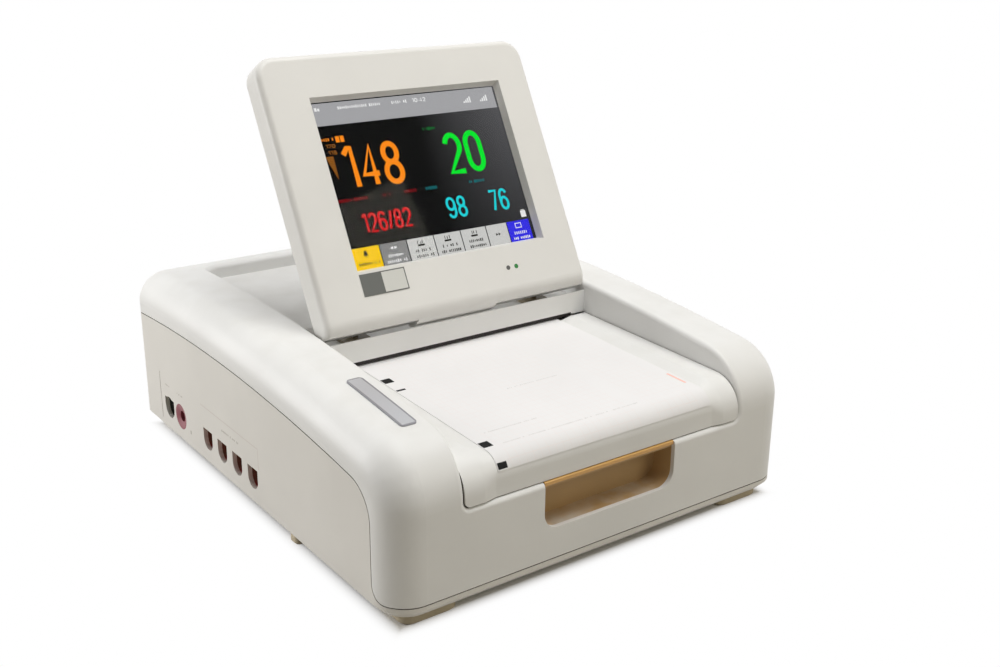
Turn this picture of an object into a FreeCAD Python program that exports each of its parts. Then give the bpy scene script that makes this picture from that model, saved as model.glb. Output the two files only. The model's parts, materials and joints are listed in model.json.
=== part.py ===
import FreeCAD
import Part
import math
import os

from FreeCAD import Vector

os.makedirs("parts", exist_ok=True)

# Fetal monitor with a folding display over a chart paper table.
# Frame in millimetres: X to the right, Y to the rear, Z up, origin under the middle of the body.

# Body form
body_width = 286.0
body_depth = 335.0
wall = 2.8
foot_height = 6.8
side_round = 20.0
front_round = 35.0
rear_round = 8.0
crest_radius = 1845.0
crest_behind_middle = 80.0
lower_chamfer = 5.0
arm_width = 43.65
arm_rise = 10.9
rim_round = 3.0

# Overrun of cuts, and the distance within which two places count as one
cut_margin = 12.0
near = 0.02

# Seam between the bottom housing and the top cover
seam_above_floor = 7.7
seam_behind_front = 21.5
seam_drop = 24.4
seam_crest_behind_middle = 50.0
seam_radius = 1390.0
seam_upper_corner = 21.0
seam_lower_corner = 10.0
seam_groove = 0.7
seam_groove_depth = 1.3

# Paper bay and its front edge
lip_seam_height = 61.7
lip_seam_gap = 0.6
bay_corner = 4.0

# Display well, above the front edge of the bay
deck_rise = 40.8
hinge_floor_drop = 4.5
hinge_floor_run = 17.0
floor_step_run = 5.0
floor_thick = 2.5
well_before_rear = 18.0
well_corner = 9.0

# Strip panel between the paper bay and the display well
panel_thick = 2.5
panel_rise = 7.2
panel_edge_thick = 1.2
panel_edge_height = 6.0
panel_before_middle = 22.0
paper_way = 2.3
slot_rise = 1.2
slot_margin = 9.5
guide_above_paper = 0.65
guide_set_in = 0.6
guide_reach = 0.8
guide_side_gap = 0.3

# Finger cut-out, its pocket, the release bar and its springs
finger_half = 47.5
finger_height = 28.4
finger_corner = 10.0
pocket_wall = 1.5
pocket_rear_gap = 2.5
bar_height = 2.6
bar_edge = 0.65
bar_side_gap = 0.5
bar_front_set = 1.0
bar_depth = 13.5
bar_slide_gap = 0.2
bar_under_lip = 0.5
spring_length = 6.5
spring_offset = 30.0
spring_coil_radius = 1.0
spring_wire = 0.35
spring_turns = 4

# Paper table, lifting about two pins at its rear
table_rise = 26.3
table_side_gap = 0.4
table_rear_gap = 1.5
table_thick = 2.6
strip_rise = 1.7
strip_slope = 1.4
strip_front_set = 0.5
strip_round = 20.0
channel_slope = 1.76
channel_front_set = 2.0
channel_round = 12.0
channel_margin = 1.5
strip_shoulder = 8.0
pivot_before_panel = 6.0
pivot_drop = 3.5
table_pin_radius = 2.0
table_pin_end_gap = 0.05
table_ear_radius = 4.2
table_ear_thick = 6.0
table_rib_depth = 9.0
table_rib_thick = 2.0
running_gap = 0.05

# Chart paper
paper_side_margin = 22.35
paper_thick = 0.3
paper_gap = 0.05
paper_end_gap = 0.2
paper_end_angle = 20.0
pack_fold_round = 2.0
pack_below_rim = 2.0
web_slack = 10.0

# Paper well
tub_wall = 2.5
tub_above_lip = 3.7
tub_depth = 36.0
tub_rear_drop = 6.0
tub_side_gap = 3.0
tub_end_gap = 2.5
tub_before_panel = 17.0
tub_flange_thick = 2.0
tub_flange_gap = 0.6
tub_flange_front_set = 6.5
tub_flange_rear = 6.0
tub_post_inset = 18.0

# Printing unit
roller_behind_panel = 11.0
roller_radius = 7.5
roller_margin = 1.0
roller_shaft_radius = 3.0
frame_plate = 1.5
frame_margin = 9.5
frame_drop = 36.5
frame_rise = 11.5
frame_front = 7.5
frame_rear = 30.0
frame_post_inset = 16.5
frame_post_run = 13.0
bush_radius = 5.0
bush_flange_radius = 6.0
bush_reach = 2.0
bush_end = 1.0
head_margin = 3.0
head_thick = 1.6
head_front = 5.5
head_rear = 8.0
sink_thick = 4.0
sink_front = 6.5
sink_rear = 15.0
leaf_width = 12.0
leaf_thick = 0.4
leaf_end_gap = 20.0
leaf_flat_share = 0.25
gear_module = 0.6
gear_teeth = 30
pinion_teeth = 15
gear_width = 5.0
gear_gap = 3.0
gear_backlash = 0.14
gear_pressure_angle = 20.0
gear_foot_share = 1.25
gear_flank_shares = (0, 0.25, 0.5, 0.75, 1)
pinion_direction = -30.0
motor_plate_thick = 1.5
motor_size = 35.0
motor_length = 26.0
motor_chamfer = 4.0
motor_shaft_radius = 2.0
motor_boss_radius = 8.0
spacer_radius = 2.5
spacer_inset = 5.0

# Display, measured from its hinge axis along its face and out of it
tilt = 61.43
face_offset = 23.0
rim_depth = 18.0
display_side_gap = 1.05
display_lip = 12.5
display_before_rear = 5.1
display_top_corner = 13.0
display_edge = 4.0
lip_round = 10.5
lip_notch = 2.4
lip_centre_left = -34.0
lip_centre_right = 25.0
display_split = 14.0
display_wall = 2.5
opening_left_margin = 30.0
opening_right_margin = 25.3
opening_low = 24.9
opening_top_margin = 28.0
opening_slope = 1.8
opening_depth = 5.2
collar = 3.0
glass_over = 6.0
glass_thick = 2.0
bracket_thick = 1.2
bracket_side_margin = 9.3
bracket_over = 10.0
bulge_side_margin = 12.3
bulge_low = 6.0
bulge_top_margin = 21.4
bulge_depth = 11.0
bulge_corner = 10.0
bulge_edge = 4.0
back_edge = 2.0
back_plate = 2.0
board_thick = 1.6
board_stand = 5.0
board_stand_radius = 2.5
board_stand_inset = 5.0
display_board_margin = 25.0
lamp_radius = 1.5
lamp_side_margin = 53.2
lamp_pitch = 6.4
lamp_place = 10.0
lamp_rise = 0.1
plate_side_margin = 30.2
plate_width = 31.5
plate_low = 9.5
plate_height = 13.8
plate_thick = 0.3
display_screw_side_margin = 6.8
display_screw_low = 4.0
display_screw_top_margin = 9.4
display_screw_radius = 1.5
display_boss_radius = 3.5
display_head_radius = 2.8
display_head_height = 1.4
display_screw_length = 12.0

# Display hinge
hinge_behind_panel = 21.0
hinge_rise = 12.0
knuckle_radius = 5.5
knuckle_side_margin = 38.3
knuckle_width = 6.0
ear_width = 4.0
ear_half = 4.0
ear_gap = 0.6
washer_thick = 0.9
washer_gap = 0.05
washer_radius = 5.0
hinge_pin_radius = 2.5
bracket_flange_thick = 2.2
bracket_flange_rear = 12.0
bracket_flange_front = 7.0
bracket_flange_half = 9.0

# Sockets in the left side
socket_count = 4
socket_before_rear = 116.8
socket_pitch = 21.7
socket_width = 13.5
socket_low = 20.5
socket_height = 13.8
socket_block_wall = 2.2
socket_depth = 9.0
socket_back = 4.0
core_length = 3.0
core_gap = 1.6
pulse_before_rear = 54.5
pulse_width = 15.0
port_z = 28.0
port_radius = 8.75
port_lip = 0.35
port_gap = 0.2
port_rim = 1.2
port_dish = 1.2
port_mouth_radius = 3.8
port_mouth_depth = 2.6
port_bore_radius = 2.6
port_bore_length = 8.4
port_depth = 14.0
nipple_radius = 1.8
nipple_length = 5.0
socket_board_over = 4.8
socket_board_low = 14.0
socket_board_height = 28.0
side_line_before_rear = 32.5
side_line_low = 16.0
side_line_length = 34.0
side_line_width = 0.6
side_line_depth = 0.6

# Air pump and its hose
pump_side_gap = 32.0
pump_radius = 14.0
pump_behind_front = 57.5
pump_length = 60.0
pump_cap = 8.0
pump_step = 2.0
saddle_thick = 6.0
saddle_half = 8.0
saddle_inset = 12.0
saddle_wrap = 3.0
hose_wall = 1.0
hose_bend = 10.0

# Rear connector tray
tray_side_margin = 35.0
tray_low = 20.0
tray_height = 54.0
tray_depth = 15.0
tray_sheet = 1.5
tray_flange = 5.0
tray_lap = 1.0
inlet_margin = 26.0
inlet_rise = 26.0
inlet_border = 3.5
inlet_mouth_width = 24.0
inlet_mouth_height = 17.0
inlet_mouth_corner = 4.0
inlet_flange = 2.5
inlet_body_wall = 2.0
inlet_mouth_depth = 13.0
inlet_back = 3.0
blade_width = 4.0
blade_thick = 2.0
blade_length = 9.0
blade_root = 1.5
blade_pitch = 7.0
blade_drop = 2.0
rocker_from_inlet = 30.0
rocker_border = 2.1
rocker_width = 10.0
rocker_height = 16.0
rocker_frame_depth = 14.0
rocker_frame_step = 0.8
rocker_gap = 0.4
rocker_swing = 7.0
rocker_body = 6.0
rocker_crown = 1.6
rocker_pin_radius = 1.2
rocker_pin_reach = 1.2
stud_from_rocker = 24.0
stud_radius = 3.0
stud_length = 13.0
stud_collar_radius = 6.0
stud_collar = 3.0
cover_count = 2
cover_side_gap = 10.0
cover_stud_gap = 30.0
cover_height = 18.0
cover_thick = 1.4
cover_rise = 1.0
cover_pitch = 22.0
cover_screw_radius = 2.2
cover_screw_rise = 1.2
cover_screw_inset = 5.0

# Boards and units on the floor
main_board_side_gap = 36.2
main_board_front_gap = 11.0
main_board_rear_gap = 10.2
main_board_rise = 14.4
main_board_inset = 7.0
chip_height = 3.0
chip_place_shares = [(0.21, 0.28), (0.57, 0.56), (0.75, 0.23)]
chip_size_share = 0.18
supply_gap = 6.0
supply_side_gap = 37.0
supply_width = 92.0
supply_depth = 66.0
supply_height = 40.0
supply_boss_gap = 0.4
supply_rear_gap = 4.2
supply_inset = 9.0
supply_edge = 2.0
speaker_side_gap = 40.0
speaker_gap = 10.0
speaker_radius = 26.0
speaker_flange = 2.0
speaker_height = 15.0
speaker_cone_height = 7.5
speaker_magnet_radius = 13.0
sound_slot_width = 2.4
sound_slot_count = 6
sound_field_share = 0.72
post_radius = 5.0
board_post_radius = 3.5
insert_spacing = 100.0
insert_radius = 3.0
insert_hole_radius = 1.65
insert_length = 8.0
insert_boss_wall = 2.5
insert_boss_roof = 2.0

# Housing screws
screw_side_gap = 26.0
screw_behind_front = 45.5
screw_before_rear = 41.5
screw_radius = 2.0
screw_clear = 0.3
screw_head_radius = 3.8
screw_head_height = 2.6
screw_bite = 18.0
boss_radius = 5.0
boss_split = 40.0
recess_clear = 0.2
recess_depth = 12.0

# Feet
foot_width = 35.0
foot_length = 22.0
foot_side_gap = 11.0
foot_end_gap = 8.0
foot_corner = 7.0
foot_stub_radius = 4.0
foot_stub = 2.0
foot_edge = 1.0
middle_foot_width = 16.0
middle_foot_length = 10.0
middle_foot_corner = 3.3
middle_foot_behind_front = 115.5

# Badge on the left arm
badge_bay_gap = 7.65
badge_width = 10.0
badge_behind_front = 31.5
badge_length = 58.0
badge_thick = 0.8
badge_corner = 2.5

# Places worked out from the sizes: across
half_width = body_width / 2
left_face = -half_width
left_inner = left_face + wall
bay_half = half_width - arm_width
table_half = bay_half - table_side_gap
display_half = bay_half - display_side_gap
paper_half = bay_half - paper_side_margin
channel_half = paper_half + channel_margin
strip_inner = channel_half + strip_shoulder
slot_half = channel_half + slot_margin
roller_half = paper_half + roller_margin
head_half = paper_half + head_margin
frame_inner_half = paper_half + frame_margin
frame_out = frame_inner_half + frame_plate
tub_half = paper_half + tub_side_gap
screw_x = half_width - screw_side_gap
pump_x = left_face + pump_side_gap
tray_half = half_width - tray_side_margin

# Places worked out from the sizes: front to rear
front_y = -body_depth / 2
rear_y = body_depth / 2
rear_inner = rear_y - wall
nose_y = front_y + front_round
seam_y = front_y + seam_behind_front
bar_front_y = front_y + bar_front_set
bar_rear_y = bar_front_y + bar_depth
tub_front_y = bar_rear_y + spring_length + tub_wall
panel_face_y = -panel_before_middle
tub_rear_y = panel_face_y - tub_before_panel
pack_front_y = tub_front_y + tub_end_gap
pack_rear_y = tub_rear_y - tub_end_gap
panel_back_y = panel_face_y + panel_thick
table_rear_y = panel_face_y - table_rear_gap
table_pivot_y = panel_face_y - pivot_before_panel
roller_y = panel_face_y + roller_behind_panel
frame_front_y = roller_y - frame_front
frame_rear_y = roller_y + frame_rear
hinge_y = panel_face_y + hinge_behind_panel
hinge_floor_end_y = hinge_y + hinge_floor_run
well_rear_y = rear_y - well_before_rear
tray_back = rear_inner - tray_depth

# Places worked out from the sizes: upwards
floor_top = foot_height + wall
lip_low = lip_seam_height + lip_seam_gap
well_floor = lip_seam_height + deck_rise
crest_height = well_floor + arm_rise
crest_centre_z = crest_height - crest_radius
nose_run = crest_radius - front_round
nose_z = crest_centre_z + math.sqrt(nose_run ** 2 - (nose_y - crest_behind_middle) ** 2)
hinge_floor = well_floor - hinge_floor_drop
panel_top = hinge_floor + panel_rise
channel_rear_top = lip_seam_height + table_rise
strip_rear_top = channel_rear_top + strip_rise
panel_foot = channel_rear_top + paper_way
slot_top = panel_foot + slot_rise
table_pivot_z = channel_rear_top - pivot_drop
roller_z = channel_rear_top - roller_radius
frame_low = roller_z - frame_drop
frame_high = roller_z + frame_rise
hinge_z = hinge_floor + hinge_rise
seam_front_height = foot_height + seam_above_floor
seam_crest_height = crest_height - seam_drop
finger_low = lip_seam_height - finger_height
bar_high = lip_low - bar_under_lip
bar_low = bar_high - bar_height
tub_top = lip_low + tub_above_lip
tub_floor_low = tub_top - tub_depth
tub_floor = tub_floor_low + tub_wall
pack_top = tub_top - pack_below_rim
socket_high = socket_low + socket_height
main_board_low = floor_top + main_board_rise
insert_top = foot_height + insert_length
supply_low = insert_top + insert_boss_roof + supply_boss_gap

AXIS_X = Vector(1, 0, 0)
AXIS_Y = Vector(0, 1, 0)
AXIS_Z = Vector(0, 0, 1)
ORIGIN = Vector(0, 0, 0)


def box(x0, x1, y0, y1, z0, z1):
    return Part.makeBox(x1 - x0, y1 - y0, z1 - z0, Vector(x0, y0, z0))


def rod_x(x0, x1, y, z, radius):
    return Part.makeCylinder(radius, x1 - x0, Vector(x0, y, z), AXIS_X)


def rod_y(y0, y1, x, z, radius):
    return Part.makeCylinder(radius, y1 - y0, Vector(x, y0, z), AXIS_Y)


def rod_z(z0, z1, x, y, radius):
    return Part.makeCylinder(radius, z1 - z0, Vector(x, y, z0), AXIS_Z)


def line(a, b):
    return Part.makeLine(Vector(0, a[0], a[1]), Vector(0, b[0], b[1]))


# Point at an angle on a circle in the YZ plane
def on_circle(centre, radius, angle):
    turn = math.radians(angle)
    return (centre[0] + radius * math.cos(turn), centre[1] + radius * math.sin(turn))


def arc(centre, radius, start, end):
    places = [on_circle(centre, radius, angle) for angle in (start, (start + end) / 2, end)]
    points = [Vector(0, y, z) for y, z in places]
    return Part.Arc(points[0], points[1], points[2]).toShape()


def prism(edges, x0, x1):
    face = Part.Face(Part.Wire(edges))
    face.translate(Vector(x0, 0, 0))
    return face.extrude(Vector(x1 - x0, 0, 0))


def polygon(points):
    return [line(points[i - 1], points[i]) for i in range(len(points))]


def chosen(shape, test):
    return [edge for edge in shape.Edges if test(edge.BoundBox)]


def along_x(b):
    return b.YLength < near and b.ZLength < near


def along_y(b):
    return b.XLength < near and b.ZLength < near


def along_z(b):
    return b.XLength < near and b.YLength < near


def slab(x0, x1, y0, y1, z0, z1, corner):
    block = box(x0, x1, y0, y1, z0, z1)
    return block.makeFillet(corner, chosen(block, along_z))


def slab_y(x0, x1, y0, y1, z0, z1, corner):
    block = box(x0, x1, y0, y1, z0, z1)
    return block.makeFillet(corner, chosen(block, along_y))


# Block around a place on the rear tray
def around(x, z, width, height, y0, y1):
    return box(x - width / 2, x + width / 2, y0, y1, z - height / 2, z + height / 2)


def joined(shapes):
    return shapes[0].multiFuse(shapes[1:]).removeSplitter()


def group(shapes):
    return Part.makeCompound(shapes)


def mirrored(shape):
    return shape.mirror(ORIGIN, AXIS_X)


# All places that pair an X of the first list with a Y of the second
def grid(xs, ys):
    return [(x, y) for x in xs for y in ys]


def save(node, shape):
    print(node, len(shape.Solids), round(shape.Volume), shape.isValid())
    shape.exportStep("parts/" + node + ".step")


# Outer body form, moved inwards by inset on every face
def body_form(inset):
    half = half_width - inset
    front = front_y + inset
    rear = rear_y - inset
    low = foot_height + inset
    radius = crest_radius - inset
    lean = math.degrees(math.atan2(nose_z - crest_centre_z, nose_y - crest_behind_middle))
    rear_angle = math.degrees(math.acos((rear - crest_behind_middle) / radius))
    rear_top = crest_centre_z + radius * math.sin(math.radians(rear_angle))
    edges = [line((front, low), (front, nose_z)),
             arc((nose_y, nose_z), front_round - inset, 180, lean),
             arc((crest_behind_middle, crest_centre_z), radius, lean, rear_angle),
             line((rear, rear_top), (rear, low)),
             line((rear, low), (front, low))]
    form = prism(edges, -half, half)
    sides = chosen(form, lambda b: b.XLength < near and b.YMin < rear - near and b.ZMax > low + near)
    form = form.makeFillet(side_round - inset, sides)
    back = chosen(form, lambda b: b.YMin > rear - near and b.ZMax > low + near)
    form = form.makeFillet(rear_round - inset, back)
    under = chosen(form, lambda b: b.ZMax < low + near)
    return form.makeChamfer(lower_chamfer - inset * (2 - math.sqrt(2)), under)


# Part of the body below the seam, grown by grow past it
def seam_zone(grow):
    radius = seam_radius + grow
    centre_z = seam_crest_height - seam_radius
    run = seam_radius - seam_upper_corner
    corner_y = seam_y + seam_upper_corner
    corner_z = centre_z + math.sqrt(run ** 2 - (corner_y - seam_crest_behind_middle) ** 2)
    lean = math.degrees(math.atan2(corner_z - centre_z, corner_y - seam_crest_behind_middle))
    start = front_y - cut_margin
    end = rear_y + cut_margin
    end_angle = math.degrees(math.acos((end - seam_crest_behind_middle) / radius))
    end_z = centre_z + radius * math.sin(math.radians(end_angle))
    sill = seam_front_height + grow
    bend_y = seam_y - seam_lower_corner
    bend_z = seam_front_height + seam_lower_corner
    edges = [line((start, -cut_margin), (start, sill)),
             line((start, sill), (bend_y, sill)),
             arc((bend_y, bend_z), seam_lower_corner - grow, -90, 0),
             line((seam_y - grow, bend_z), (seam_y - grow, corner_z)),
             arc((corner_y, corner_z), seam_upper_corner + grow, 180, lean),
             arc((seam_crest_behind_middle, centre_z), radius, lean, end_angle),
             line((end, end_z), (end, -cut_margin)),
             line((end, -cut_margin), (start, -cut_margin))]
    return prism(edges, -half_width - cut_margin, half_width + cut_margin)


# Paper bay, open to the front and the top
def bay_hollow(half, rear):
    return box(-half, half, front_y - cut_margin, rear, lip_seam_height, crest_height + cut_margin)


# Display well and the way over the strip panel, grown by grow on every face
def well_hollow(grow):
    half = bay_half + grow
    roof = crest_height + cut_margin
    step_y = hinge_floor_end_y + grow
    points = [(panel_back_y - grow, hinge_floor - grow), (step_y, hinge_floor - grow),
              (step_y + floor_step_run, well_floor - grow), (well_rear_y + grow, well_floor - grow),
              (well_rear_y + grow, roof), (panel_back_y - grow, roof)]
    well = prism(polygon(points), -half, half)
    ends = chosen(well, lambda b: along_z(b) and b.YMin > well_rear_y + grow - near)
    over = box(-half, half, panel_face_y - grow, panel_back_y + grow, panel_top, roof)
    return well.makeFillet(well_corner + grow, ends).fuse(over)


outer = body_form(0)
inner = body_form(wall)
zone = seam_zone(0)
groove_skin = outer.cut(body_form(seam_groove_depth))
groove = seam_zone(seam_groove / 2).cut(seam_zone(-seam_groove / 2)).common(groove_skin)
bay = bay_hollow(bay_half, panel_face_y)
bay_edges = chosen(bay, lambda b: along_y(b) and b.ZMax < lip_seam_height + near)
hollow = bay.makeFillet(bay_corner, bay_edges).fuse(well_hollow(0))
walled_bay = bay_hollow(bay_half + floor_thick, panel_face_y + floor_thick)
hollow_and_walls = walled_bay.fuse(well_hollow(floor_thick))

# Top cover with rounded rims along the arms and round the display well
carved = outer.cut(hollow)
outer_skin = group(outer.Faces)
hollow_skin = group(hollow.Faces)


def on_rim(edge):
    middle = Part.Vertex(edge.valueAt((edge.FirstParameter + edge.LastParameter) / 2))
    b = edge.BoundBox
    across_front = b.XLength > near and b.YMax < nose_y
    on_both = max(skin.distToShape(middle)[0] for skin in (outer_skin, hollow_skin)) < near
    return on_both and not across_front


carved = carved.makeFillet(rim_round, [edge for edge in carved.Edges if on_rim(edge)])
screw_places = grid((-screw_x, screw_x), (front_y + screw_behind_front, rear_y - screw_before_rear))
pilot_top = boss_split + screw_bite
top = carved.cut(inner.cut(hollow_and_walls)).cut([zone.cut(inner), groove])
top_bosses = [rod_z(boss_split, crest_height, x, y, boss_radius).common(inner) for x, y in screw_places]
top = joined([top] + top_bosses)
panel_cut_front = panel_face_y - panel_thick
panel_cut_rear = panel_back_y + near
panel_cuts = [box(-slot_half, slot_half, panel_cut_front, panel_cut_rear, lip_seam_height, slot_top),
              box(-bay_half, bay_half, panel_cut_front, panel_cut_rear, lip_seam_height, panel_foot),
              box(-bay_half, bay_half, panel_face_y + panel_edge_thick, panel_cut_rear,
                  panel_top - panel_edge_height, panel_top + near)]
finger_cut = box(-finger_half, finger_half, front_y - cut_margin, front_y + wall + near,
                 finger_low, lip_seam_height + cut_margin)
finger_cut = finger_cut.makeFillet(finger_corner, chosen(
    finger_cut, lambda b: along_y(b) and b.ZMax < finger_low + near))
pin_reach = bay_half + floor_thick
pin_hole = rod_x(-pin_reach - near, pin_reach + near, table_pivot_y, table_pivot_z,
                 table_pin_radius + running_gap)
pilots = [rod_z(boss_split - near, pilot_top, x, y, screw_radius) for x, y in screw_places]
top = top.cut(panel_cuts + [finger_cut, pin_hole] + pilots)

# Floor plate of the display well, let into the cover between its walls
plate_front_y = hinge_floor_end_y + floor_step_run + floor_thick
plate_space = box(-bay_half, bay_half, plate_front_y, well_rear_y, well_floor - floor_thick, well_floor)
plate_space = plate_space.makeFillet(well_corner, chosen(
    plate_space, lambda b: along_z(b) and b.YMin > well_rear_y - near))
save("top_cover", top.cut(plate_space))
save("well_plate", top.common(plate_space))

# Places of the posts that the bottom housing carries
tub_posts = grid((-tub_half + tub_post_inset, tub_half - tub_post_inset),
                 (tub_front_y + tub_post_inset, tub_rear_y - tub_post_inset))
frame_post_x = frame_inner_half - frame_post_inset
frame_posts = grid((-frame_post_x, frame_post_x), (roller_y + frame_post_run,))
supply_right = half_width - supply_side_gap
supply_left = supply_right - supply_width
main_board_left = left_inner + main_board_side_gap
main_board_right = supply_left - supply_gap
main_board_front_y = frame_rear_y + main_board_front_gap
main_board_rear_y = tray_back - tray_sheet - main_board_rear_gap
board_posts = grid((main_board_left + main_board_inset, main_board_right - main_board_inset),
                   (main_board_front_y + main_board_inset, main_board_rear_y - main_board_inset))
inlet_end = tray_back + inlet_flange
inlet_floor = inlet_end - inlet_mouth_depth
supply_rear_y = inlet_floor - inlet_back - supply_rear_gap
supply_front_y = supply_rear_y - supply_depth
supply_posts = grid((supply_left + supply_inset, supply_right - supply_inset),
                    (supply_front_y + supply_inset, supply_rear_y - supply_inset))
insert_half = insert_spacing / 2
insert_places = grid((-insert_half, insert_half), (-insert_half, insert_half))
insert_boss_radius = insert_radius + insert_boss_wall
pump_front_y = front_y + pump_behind_front
pump_rear_y = pump_front_y + pump_length
saddle_top = port_z - pump_radius + saddle_wrap

# Bottom housing: tray, posts and pump saddles
root = foot_height + wall / 2
posts = [rod_z(root, tub_floor_low, x, y, post_radius) for x, y in tub_posts]
posts += [rod_z(root, frame_low, x, y, post_radius) for x, y in frame_posts]
posts += [rod_z(root, main_board_low, x, y, board_post_radius) for x, y in board_posts]
posts += [rod_z(root, supply_low, x, y, post_radius) for x, y in supply_posts]
posts += [rod_z(root, boss_split, x, y, boss_radius) for x, y in screw_places]
posts += [rod_z(root, insert_top + insert_boss_roof, x, y, insert_boss_radius) for x, y in insert_places]
pump_space = rod_y(pump_front_y, pump_rear_y, pump_x, port_z, pump_radius)
for y in (pump_front_y + saddle_inset, pump_rear_y - saddle_inset):
    saddle = box(pump_x - saddle_half, pump_x + saddle_half, y - saddle_thick / 2, y + saddle_thick / 2,
                 root, saddle_top)
    posts.append(saddle.cut(pump_space))
base = joined([outer.cut(inner).common(zone).cut(groove)] + posts)

# Sockets in the left side: a mouth with a flat top and a round bottom in a block
socket_starts = [rear_y - socket_before_rear - i * socket_pitch for i in range(socket_count)]
pulse_start = rear_y - pulse_before_rear
port_flange_radius = port_radius + port_lip
port_y = pulse_start - socket_block_wall - port_gap - port_flange_radius


def socket_mouth(start, width, x0, x1):
    radius = width / 2
    bottom = socket_low + radius
    return joined([box(x0, x1, start, start + width, bottom, socket_high),
                   rod_x(x0, x1, start + radius, bottom, radius)])


def socket_shell(start, width):
    edge = socket_block_wall
    x_end = left_inner + socket_depth + socket_back
    block = box(left_inner, x_end, start - edge, start + width + edge, socket_low - edge, socket_high + edge)
    return block.cut(socket_mouth(start, width, left_inner - near, left_inner + socket_depth))


# Openings of the bottom housing
mouths = [socket_mouth(start, socket_width, left_face - near, left_inner + near) for start in socket_starts]
mouths.append(socket_mouth(pulse_start, pulse_width, left_face - near, left_inner + near))
mouths.append(rod_x(left_face - near, left_inner + near, port_y, port_z, port_radius))
side_line_y = rear_y - side_line_before_rear
side_line = box(left_face - near, left_face + side_line_depth, side_line_y - side_line_width / 2,
                side_line_y + side_line_width / 2, side_line_low, side_line_low + side_line_length)
tray_inner_half = tray_half - tray_flange
tray_high = tray_low + tray_height
tray_low_in = tray_low + tray_flange
tray_high_in = tray_high - tray_flange
rear_mouth_half = tray_half - tray_lap
rear_mouth = box(-rear_mouth_half, rear_mouth_half, rear_inner - near, rear_y + near,
                 tray_low + tray_lap, tray_high - tray_lap)
recess_top = foot_height + recess_depth
screw_ways = []
for x, y in screw_places:
    screw_ways.append(rod_z(foot_height - near, boss_split + near, x, y, screw_radius + screw_clear))
    screw_ways.append(rod_z(foot_height - near, recess_top, x, y, screw_head_radius + recess_clear))
speaker_x = half_width - speaker_side_gap
speaker_y = supply_front_y - speaker_gap - speaker_radius
sound_field = speaker_radius * sound_field_share
sound_slot_pitch = 2 * sound_field / sound_slot_count
sound_slots = []
for i in range(sound_slot_count):
    offset = (i - (sound_slot_count - 1) / 2) * sound_slot_pitch
    reach = math.sqrt(sound_field ** 2 - offset ** 2)
    y = speaker_y + offset
    sound_slots.append(box(speaker_x - reach, speaker_x + reach, y - sound_slot_width / 2,
                           y + sound_slot_width / 2, foot_height - near, floor_top + near))
insert_ways = [rod_z(foot_height - near, insert_top, x, y, insert_radius) for x, y in insert_places]
foot_x = half_width - foot_side_gap - foot_width / 2
foot_y = rear_y - foot_end_gap - foot_length / 2
corner_feet = grid((-foot_x, foot_x), (-foot_y, foot_y))
middle_foot_x = half_width - lower_chamfer - middle_foot_width / 2
middle_foot_y = front_y + middle_foot_behind_front + middle_foot_length / 2
middle_feet = grid((-middle_foot_x, middle_foot_x), (middle_foot_y,))
stub_ways = [rod_z(foot_height - near, foot_height + foot_stub, x, y, foot_stub_radius)
             for x, y in corner_feet + middle_feet]
base = base.cut(mouths + [side_line, rear_mouth] + screw_ways + sound_slots + insert_ways + stub_ways)
save("bottom_housing", base)


# Feet, inserts and screws
def foot(x, y, width, length, corner):
    pad = slab(x - width / 2, x + width / 2, y - length / 2, y + length / 2, 0, foot_height, corner)
    pad = pad.makeChamfer(foot_edge, chosen(pad, lambda b: b.ZMax < near))
    return joined([pad, rod_z(foot_height - near, foot_height + foot_stub, x, y, foot_stub_radius)])


feet = [foot(x, y, foot_width, foot_length, foot_corner) for x, y in corner_feet]
feet += [foot(x, y, middle_foot_width, middle_foot_length, middle_foot_corner) for x, y in middle_feet]
save("rubber_feet", group(feet))
inserts = [rod_z(foot_height, insert_top, x, y, insert_radius).cut(
    rod_z(foot_height, insert_top, x, y, insert_hole_radius)) for x, y in insert_places]
save("mount_inserts", group(inserts))
screws = [joined([rod_z(recess_top - screw_head_height, recess_top, x, y, screw_head_radius),
                  rod_z(recess_top - near, pilot_top, x, y, screw_radius)]) for x, y in screw_places]
save("housing_screws", group(screws))

# Badge on the left arm
badge_right = -bay_half - badge_bay_gap
badge_front_y = front_y + badge_behind_front
badge = slab(badge_right - badge_width, badge_right, badge_front_y, badge_front_y + badge_length,
             lip_seam_height, crest_height + cut_margin, badge_corner)
save("badge_plate", badge.common(body_form(-badge_thick)).cut(outer))

# Paper well and pack
tub_out = tub_half + tub_wall
flange_half = bay_half - tub_flange_gap
flange_rear_y = tub_rear_y + tub_flange_rear
tub = box(-tub_out, tub_out, tub_front_y - tub_wall, tub_rear_y + tub_wall, tub_floor_low, tub_top)
flange = box(-flange_half, flange_half, front_y + tub_flange_front_set, flange_rear_y,
             tub_top - tub_flange_thick, tub_top)
tub_inside = box(-tub_half, tub_half, tub_front_y, tub_rear_y, tub_floor, tub_top + near)
rear_drop = box(-tub_half, tub_half, tub_rear_y - near, flange_rear_y + near,
                tub_top - tub_rear_drop, tub_top + near)
save("paper_well", joined([tub, flange]).cut([tub_inside, rear_drop]))
pack = box(-paper_half, paper_half, pack_front_y, pack_rear_y, tub_floor, pack_top)
save("paper_pack", pack.makeFillet(pack_fold_round, chosen(pack, along_x)))

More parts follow.
